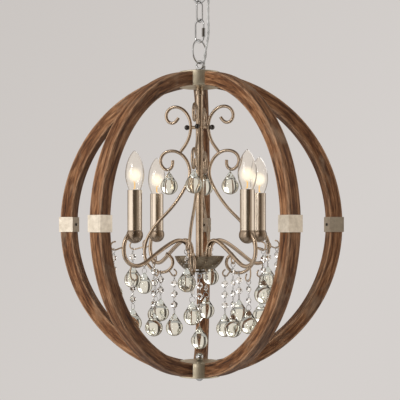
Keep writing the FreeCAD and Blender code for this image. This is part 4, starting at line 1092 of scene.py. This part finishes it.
def bead_mesh():
    """A flat octagon with a small table on both faces; it faces the viewer at azimuth 0."""
    work = bmesh.new()
    half_side = math.pi / BEAD_SIDES
    rings = []
    for half, out in BEAD_PROFILE:
        reach = half / math.cos(half_side)
        turns = [half_side * (2 * side + 1) for side in range(BEAD_SIDES)]
        spots = [(reach * math.cos(turn), out, reach * math.sin(turn)) for turn in turns]
        rings.append([work.verts.new(spot) for spot in spots])
    for face in skin(rings) + [rings[0], rings[-1]]:
        work.faces.new(face)
    bmesh.ops.recalc_face_normals(work, faces=work.faces)
    return mesh_from("bead", work)


def tube(name, frames, radius, section, closed=False):
    """A round tube along (point, side, front) frames."""
    points, rings = [], []
    for place, side, front in frames:
        rings.append(range(len(points), len(points) + section))
        for part in range(section):
            angle = 2 * math.pi * part / section
            points.append(place + side * radius * math.cos(angle) + front * radius * math.sin(angle))
    ends = [] if closed else [tuple(rings[0])[::-1], tuple(rings[-1])]
    faces = skin(rings + rings[:1] if closed else rings) + ends
    return clean(new_mesh(name, points, faces), 60)


def wire_ring(centre, turn, radius, wire, tall=1.0, steps=28, section=8):
    """A round or tall ring of wire whose opening faces this azimuth."""
    across, facing = toward(turn + 90, 1, 0), toward(turn, 1, 0)
    frames = []
    for step in range(steps):
        angle = 2 * math.pi * step / steps
        out = across * math.cos(angle) + Vector((0, 0, math.sin(angle) * tall))
        frames.append((Vector(centre) + out * radius, out, facing))
    return tube("wire_ring", frames, wire, section, closed=True)


# %% Geometry Nodes: a string of beads
STRING, STRING_SOCKETS, given, line, turn = copying_tree(
    "string_of_beads", ("Pitch", "Float"), ("Turn", "Float"), ("First bead", "Vector")
)
down = math_node(STRING, "MULTIPLY", given["Pitch"], -1)
down = new_node(STRING, "ShaderNodeCombineXYZ", Z=down).outputs[0]
link(STRING, down, line.inputs["Offset"])
link(STRING, given["First bead"], line.inputs["Start Location"])
link(STRING, given["Turn"], turn.inputs["Z"])
print("the string has", len(STRING.nodes), "nodes")


# %% Strands
def strand(node, place, axis):
    """Builds the ball, beads and wire that stand for one CAD strand."""
    x, y, _ = place
    turn = math.degrees(math.atan2(axis[0], -axis[1]))
    low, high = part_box(node)
    drop, top = high[2] - low[2], high[2]
    ball_ring_top = top - BALL_RING_WIRE
    count, metal = 0, []
    if drop > BARE_DROP + RING_RADIUS:
        spare = drop - BARE_DROP + BALL_RING_WIRE - 2 * RING_RADIUS - RING_WIRE
        count = round((spare - 2 * RING_ROOM + PIN_SHOWING) / BEAD_PITCH)
    if count:
        ring_centre = top - RING_WIRE - RING_RADIUS
        metal.append(wire_ring((x, y, ring_centre), turn, RING_RADIUS, RING_WIRE))
        first = ring_centre - RING_RADIUS - RING_ROOM - BEAD_HALF
        ball_ring_top = first - BEAD_PITCH * (count - 1) - BEAD_HALF - RING_ROOM
        for number in range(count + 1):  # one link of thin wire above each bead and under the last
            inner = 0 < number < count
            gap = PIN_SHOWING if inner else RING_ROOM
            tall = gap if inner else gap + RING_WIRE
            high_end = first + BEAD_HALF - BEAD_PITCH * number
            high_end += PIN_SHOWING if number else RING_ROOM
            spot = (x, y, high_end - gap / 2)
            metal.append(wire_ring(spot, turn + 90, PIN_HALF, PIN_RADIUS, tall / (2 * PIN_HALF), 16, 6))
        beads = nodes_on(
            new_object("beads_" + node, bead_mesh()), STRING, STRING_SOCKETS, Count=count,
            Pitch=BEAD_PITCH, Turn=math.radians(turn + 90), First_bead=(x, y, first), Finish=BEAD_GLASS,
        )
        stands_for(beads, node, node)
    ring_spot = (x, y, ball_ring_top - BALL_RING_RADIUS)
    metal.append(wire_ring(ring_spot, turn, BALL_RING_RADIUS, BALL_RING_WIRE))
    name = "wires_" + node
    piece(name, joined(name, metal), BRIGHT_WIRE, node, node, "chain_steel")
    centre = (x, y, ball_ring_top - 2 * BALL_RING_RADIUS - HOLE_LEVEL)
    name = "ball_" + node
    piece(name, turned(name, ball_outline(), 40, centre, 70), CRYSTAL, node, node)
    return count


bead_total = 0
for joint in frame["joints"]:
    if joint["child"] in nodes and joint["child"].startswith(("strand_", "drop_")):
        bead_total += strand(joint["child"], joint["pos_m"], joint["axis"])
print(bead_total, "beads on all strands")

# %% [markdown]
# ## Suspension
# The chandelier hangs on a welded ring, a quick link with a screw sleeve, and one chain link. Each
# is a closed loop of round wire, so one function sweeps them all: it takes the half width and the
# length of the loop, and the direction that the loop lies in.

# %% Loops
CHAIN_TURN = math.radians(55)
ALONG_RING = Vector((math.cos(CHAIN_TURN), math.sin(CHAIN_TURN), 0))
ALONG_EYE = Vector((math.sin(CHAIN_TURN), -math.cos(CHAIN_TURN), 0))
RING_HALF, LINK_HALF, QUICK_HALF = 20.2 * MM, 8.4 * MM, 8.6 * MM
HANG_WIRE, LINK_WIRE, EYE_WIRE = 1.5 * MM, 1.6 * MM, 1.75 * MM


def wire_loop(name, bottom, length, half_width, wire, across):
    """A closed loop of round wire with round ends, whose centreline starts at this height."""
    half_turn = arc((0, half_width), half_width, 180, 360, 24)
    half_turn += arc((0, length - half_width), half_width, 0, 180, 24)
    path = [across * out + Vector((0, 0, bottom + up)) for out, up in half_turn]
    return clean(curve_mesh(name, [path], wire, kind="POLY", closed=True), 60)


def node_loop(name, node, half_width, wire, across, body):
    """A loop that fills the height of its CAD node."""
    low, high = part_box(node)
    mesh = wire_loop(name, low[2] + wire, high[2] - low[2] - 2 * wire, half_width, wire, across)
    return piece(name, mesh, CHAIN_STEEL, body, node)


node_loop("welded_ring", "hanging_ring", RING_HALF, HANG_WIRE, ALONG_RING, "ring")
node_loop("chain_oval", "chain_link", LINK_HALF, LINK_WIRE, ALONG_RING, "chain_link")
node_loop("quick_oval", "quick_link", QUICK_HALF, EYE_WIRE, ALONG_EYE, "quick_link")

# %% Sleeve of the quick link
NUT_BORE, NUT_OUTER = 1.9 * MM, 3.3 * MM
low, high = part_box("quick_link_sleeve")
tall = high[2] - low[2]
nut_corners = [(NUT_BORE, 0), (NUT_OUTER, 0), (NUT_OUTER, tall), (NUT_BORE, tall)]
nut_corners = softened(nut_corners, 0.5 * MM)
nut_place = ((low[0] + high[0]) / 2, (low[1] + high[1]) / 2, low[2])
sleeve_nut = turned("sleeve_nut", nut_corners + nut_corners[:1], 6, nut_place, 30)
piece("sleeve_nut", sleeve_nut, CHAIN_STEEL, "quick_link_sleeve", "quick_link_sleeve")

# %% Fixture loop with its collar and cord inlet
COLLAR_RADIUS, COLLAR_HEIGHT, EYE_HALF, EYE_SUNK = 8.5 * MM, 5 * MM, 6.5 * MM, 0.4 * MM
INLET_RADIUS, INLET_BORE, INLET_REACH = 3.2 * MM, 2.45 * MM, 7.6 * MM
INLET_HEIGHT, INLET_SEAT = 11 * MM, 5.5 * MM
collar_top = RIB_OUTER + COLLAR_HEIGHT
corners = [(0, RIB_OUTER), (COLLAR_RADIUS, RIB_OUTER), (COLLAR_RADIUS, collar_top), (0, collar_top)]
collar = turned("collar", softened(corners), 48, (0, 0, MIDDLE))
inlet_place = (ALONG_RING + ALONG_EYE).normalized() * INLET_REACH
inlet_place.z = MIDDLE + RIB_OUTER
corners = [(INLET_BORE, INLET_HEIGHT - INLET_SEAT), (INLET_BORE, INLET_HEIGHT)]
corners += [(INLET_RADIUS, INLET_HEIGHT), (INLET_RADIUS, 0)]
inlet = turned("inlet", softened(corners, 0.25 * MM), 32, inlet_place)
eye_low = MIDDLE + collar_top + EYE_WIRE - EYE_SUNK
eye = wire_loop("eye", eye_low, 2 * EYE_HALF, EYE_HALF, EYE_WIRE, ALONG_EYE)
fixture_loop = joined("eye_and_collar", [collar, inlet, eye])
piece("eye_and_collar", fixture_loop, CHAIN_STEEL, "fixture", "fixture_loop")

# %% Bowl finial with its loop
BOWL_EYE = 3.6 * MM
finial = turned("finial", finial_outline, 48, (0, 0, MIDDLE))
eye_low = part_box("bowl_finial")[0][2] + HOOK_RADIUS
bowl_eye = wire_loop("bowl_eye", eye_low, 2 * BOWL_EYE, BOWL_EYE, HOOK_RADIUS, Vector((1, 0, 0)))
bowl_finial = joined("finial_and_loop", [finial, bowl_eye])
piece("finial_and_loop", bowl_finial, CHAIN_STEEL, "fixture", "bowl_finial")

# %% [markdown]
# ## Canopy
# The canopy is a shallow cup spun from sheet metal, which hides the ceiling box. It is above the
# picture, so it takes the plainest form of its kind, in the metal of the chain.

# %% Canopy and its loop
CANOPY_RADIUS, CANOPY_WALL, CANOPY_ROUND, CANOPY_BORE = 60 * MM, 1.0 * MM, 6 * MM, 4.9 * MM
TOP_COLLAR, TOP_NECK, TOP_CONE, TOP_EYE, TOP_GAP = 11 * MM, 6.82 * MM, 3 * MM, 13.5 * MM, 0.5 * MM
canopy_low, canopy_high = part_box("canopy")
deep = canopy_high[2] - canopy_low[2]
round_centre = (CANOPY_RADIUS - CANOPY_ROUND, CANOPY_ROUND)
canopy_outline = [(CANOPY_BORE, 0)] + arc(round_centre, CANOPY_ROUND, -90, 0, 8)
canopy_outline += [(CANOPY_RADIUS, deep), (CANOPY_RADIUS - CANOPY_WALL, deep)]
canopy_outline += arc(round_centre, CANOPY_ROUND - CANOPY_WALL, 0, -90, 8)
canopy_outline += [(CANOPY_BORE, CANOPY_WALL), (CANOPY_BORE, 0)]
canopy = turned("spun_canopy", canopy_outline, 96, (0, 0, canopy_low[2]))
piece("spun_canopy", canopy, CHAIN_STEEL, "ceiling", "canopy")

top_low, top_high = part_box("canopy_loop")
collar_low = top_low[2] + EYE_WIRE + 2 * TOP_EYE + TOP_GAP
tall = top_high[2] - collar_low
corners = [(0, 0), (TOP_NECK, 0), (TOP_COLLAR, TOP_CONE), (TOP_COLLAR, tall), (0, tall)]
top_collar = turned("top_collar", softened(corners), 48, (0, 0, collar_low))
top_eye = wire_loop("top_eye", top_low[2] + EYE_WIRE, 2 * TOP_EYE, TOP_EYE, EYE_WIRE, ALONG_EYE)
canopy_loop = joined("loop_and_collar", [top_collar, top_eye])
piece("loop_and_collar", canopy_loop, CHAIN_STEEL, "ceiling", "canopy_loop")

# %% [markdown]
# ## Supply cord
# A clear cord with two silver conductors runs from the inlet up beside the links to the canopy. It
# follows one smooth NURBS line. Each link of the suspension swings by itself, so the cord is made
# in four stretches, one across each joint.

# %% Cord
CORD_RADIUS, CORD_BOTTOM = 2.4 * MM, MIDDLE + RIB_OUTER + 5 * MM
CONDUCTOR_RADIUS, CONDUCTOR_REACH, TWIST = 0.85 * MM, 0.95 * MM, 26 * MM
CORD_BENDS = [
    (7.9, 1.0, 290), (10.6, -0.6, 303), (13.6, -1.4, 317), (15.6, -0.6, 332), (15.9, 0.6, 348),
    (15.0, 1.0, 365), (15.2, 0.2, 383), (15.8, -0.4, 402),
]
CORD_CUTS = [MIDDLE + level * MM for level in (309, 342, 375)]
CORD_ENDS = (
    ("ring", "fixture"), ("quick_link", "ring"), ("chain_link", "quick_link"), ("ceiling", "chain_link"),
)


def cut_line(line, heights):
    """Cuts a rising line at these heights, with a shared point at each cut."""
    pieces, current, waiting = [], [line[0]], list(heights)
    for before, after in zip(line, line[1:]):
        while waiting and before.z < waiting[0] <= after.z:
            share = (waiting.pop(0) - before.z) / (after.z - before.z)
            meeting = before.lerp(after, share)
            pieces.append(current + [meeting])
            current = [meeting.copy()]
        current.append(after)
    return pieces + [current]


def line_frames(line):
    """Each point of a line with two directions square to it."""
    frames = []
    for index, place in enumerate(line):
        ahead = line[min(index + 1, len(line) - 1)] - line[max(index - 1, 0)]
        side = ahead.cross(Vector((0, 1, 0))).normalized()
        frames.append((place, side, side.cross(ahead).normalized()))
    return frames


def conductor(line, phase):
    """A wire that winds round the cord's line."""
    points = []
    for place, side, front in line_frames(line):
        angle = phase + 2 * math.pi * (place.z - CORD_BOTTOM) / TWIST
        out = side * math.cos(angle) + front * math.sin(angle)
        points.append(place + out * CONDUCTOR_REACH)
    return tube("conductor", line_frames(points), CONDUCTOR_RADIUS, 10)


cord_points = [(inlet_place.x, inlet_place.y, CORD_BOTTOM)]
cord_points += [(x * MM, y * MM, MIDDLE + level * MM) for x, y, level in CORD_BENDS]
cord_points.append((15 * MM, 0.0, canopy_low[2] + 6 * MM))
cord_line = curve_mesh("cord_line", [cord_points], 0.0, order=3, resolution=12)
cord_line = [vertex.co.copy() for vertex in cord_line.vertices]
stretches = zip(cut_line(cord_line, CORD_CUTS), CORD_ENDS)
for number, (line, (above, below)) in enumerate(stretches, start=1):
    sheath = tube(f"sheath_{number}", line_frames(line), CORD_RADIUS, 20)
    wires = joined(f"conductors_{number}", [conductor(line, phase) for phase in (0, math.pi)])
    sheath.materials.append(SHEATH)
    wires.materials.append(BRIGHT_WIRE)
    cord, core = new_object(sheath.name, sheath), new_object(wires.name, wires)
    for part in (cord, core):
        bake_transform(part)
        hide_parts(f"cord_{number}")
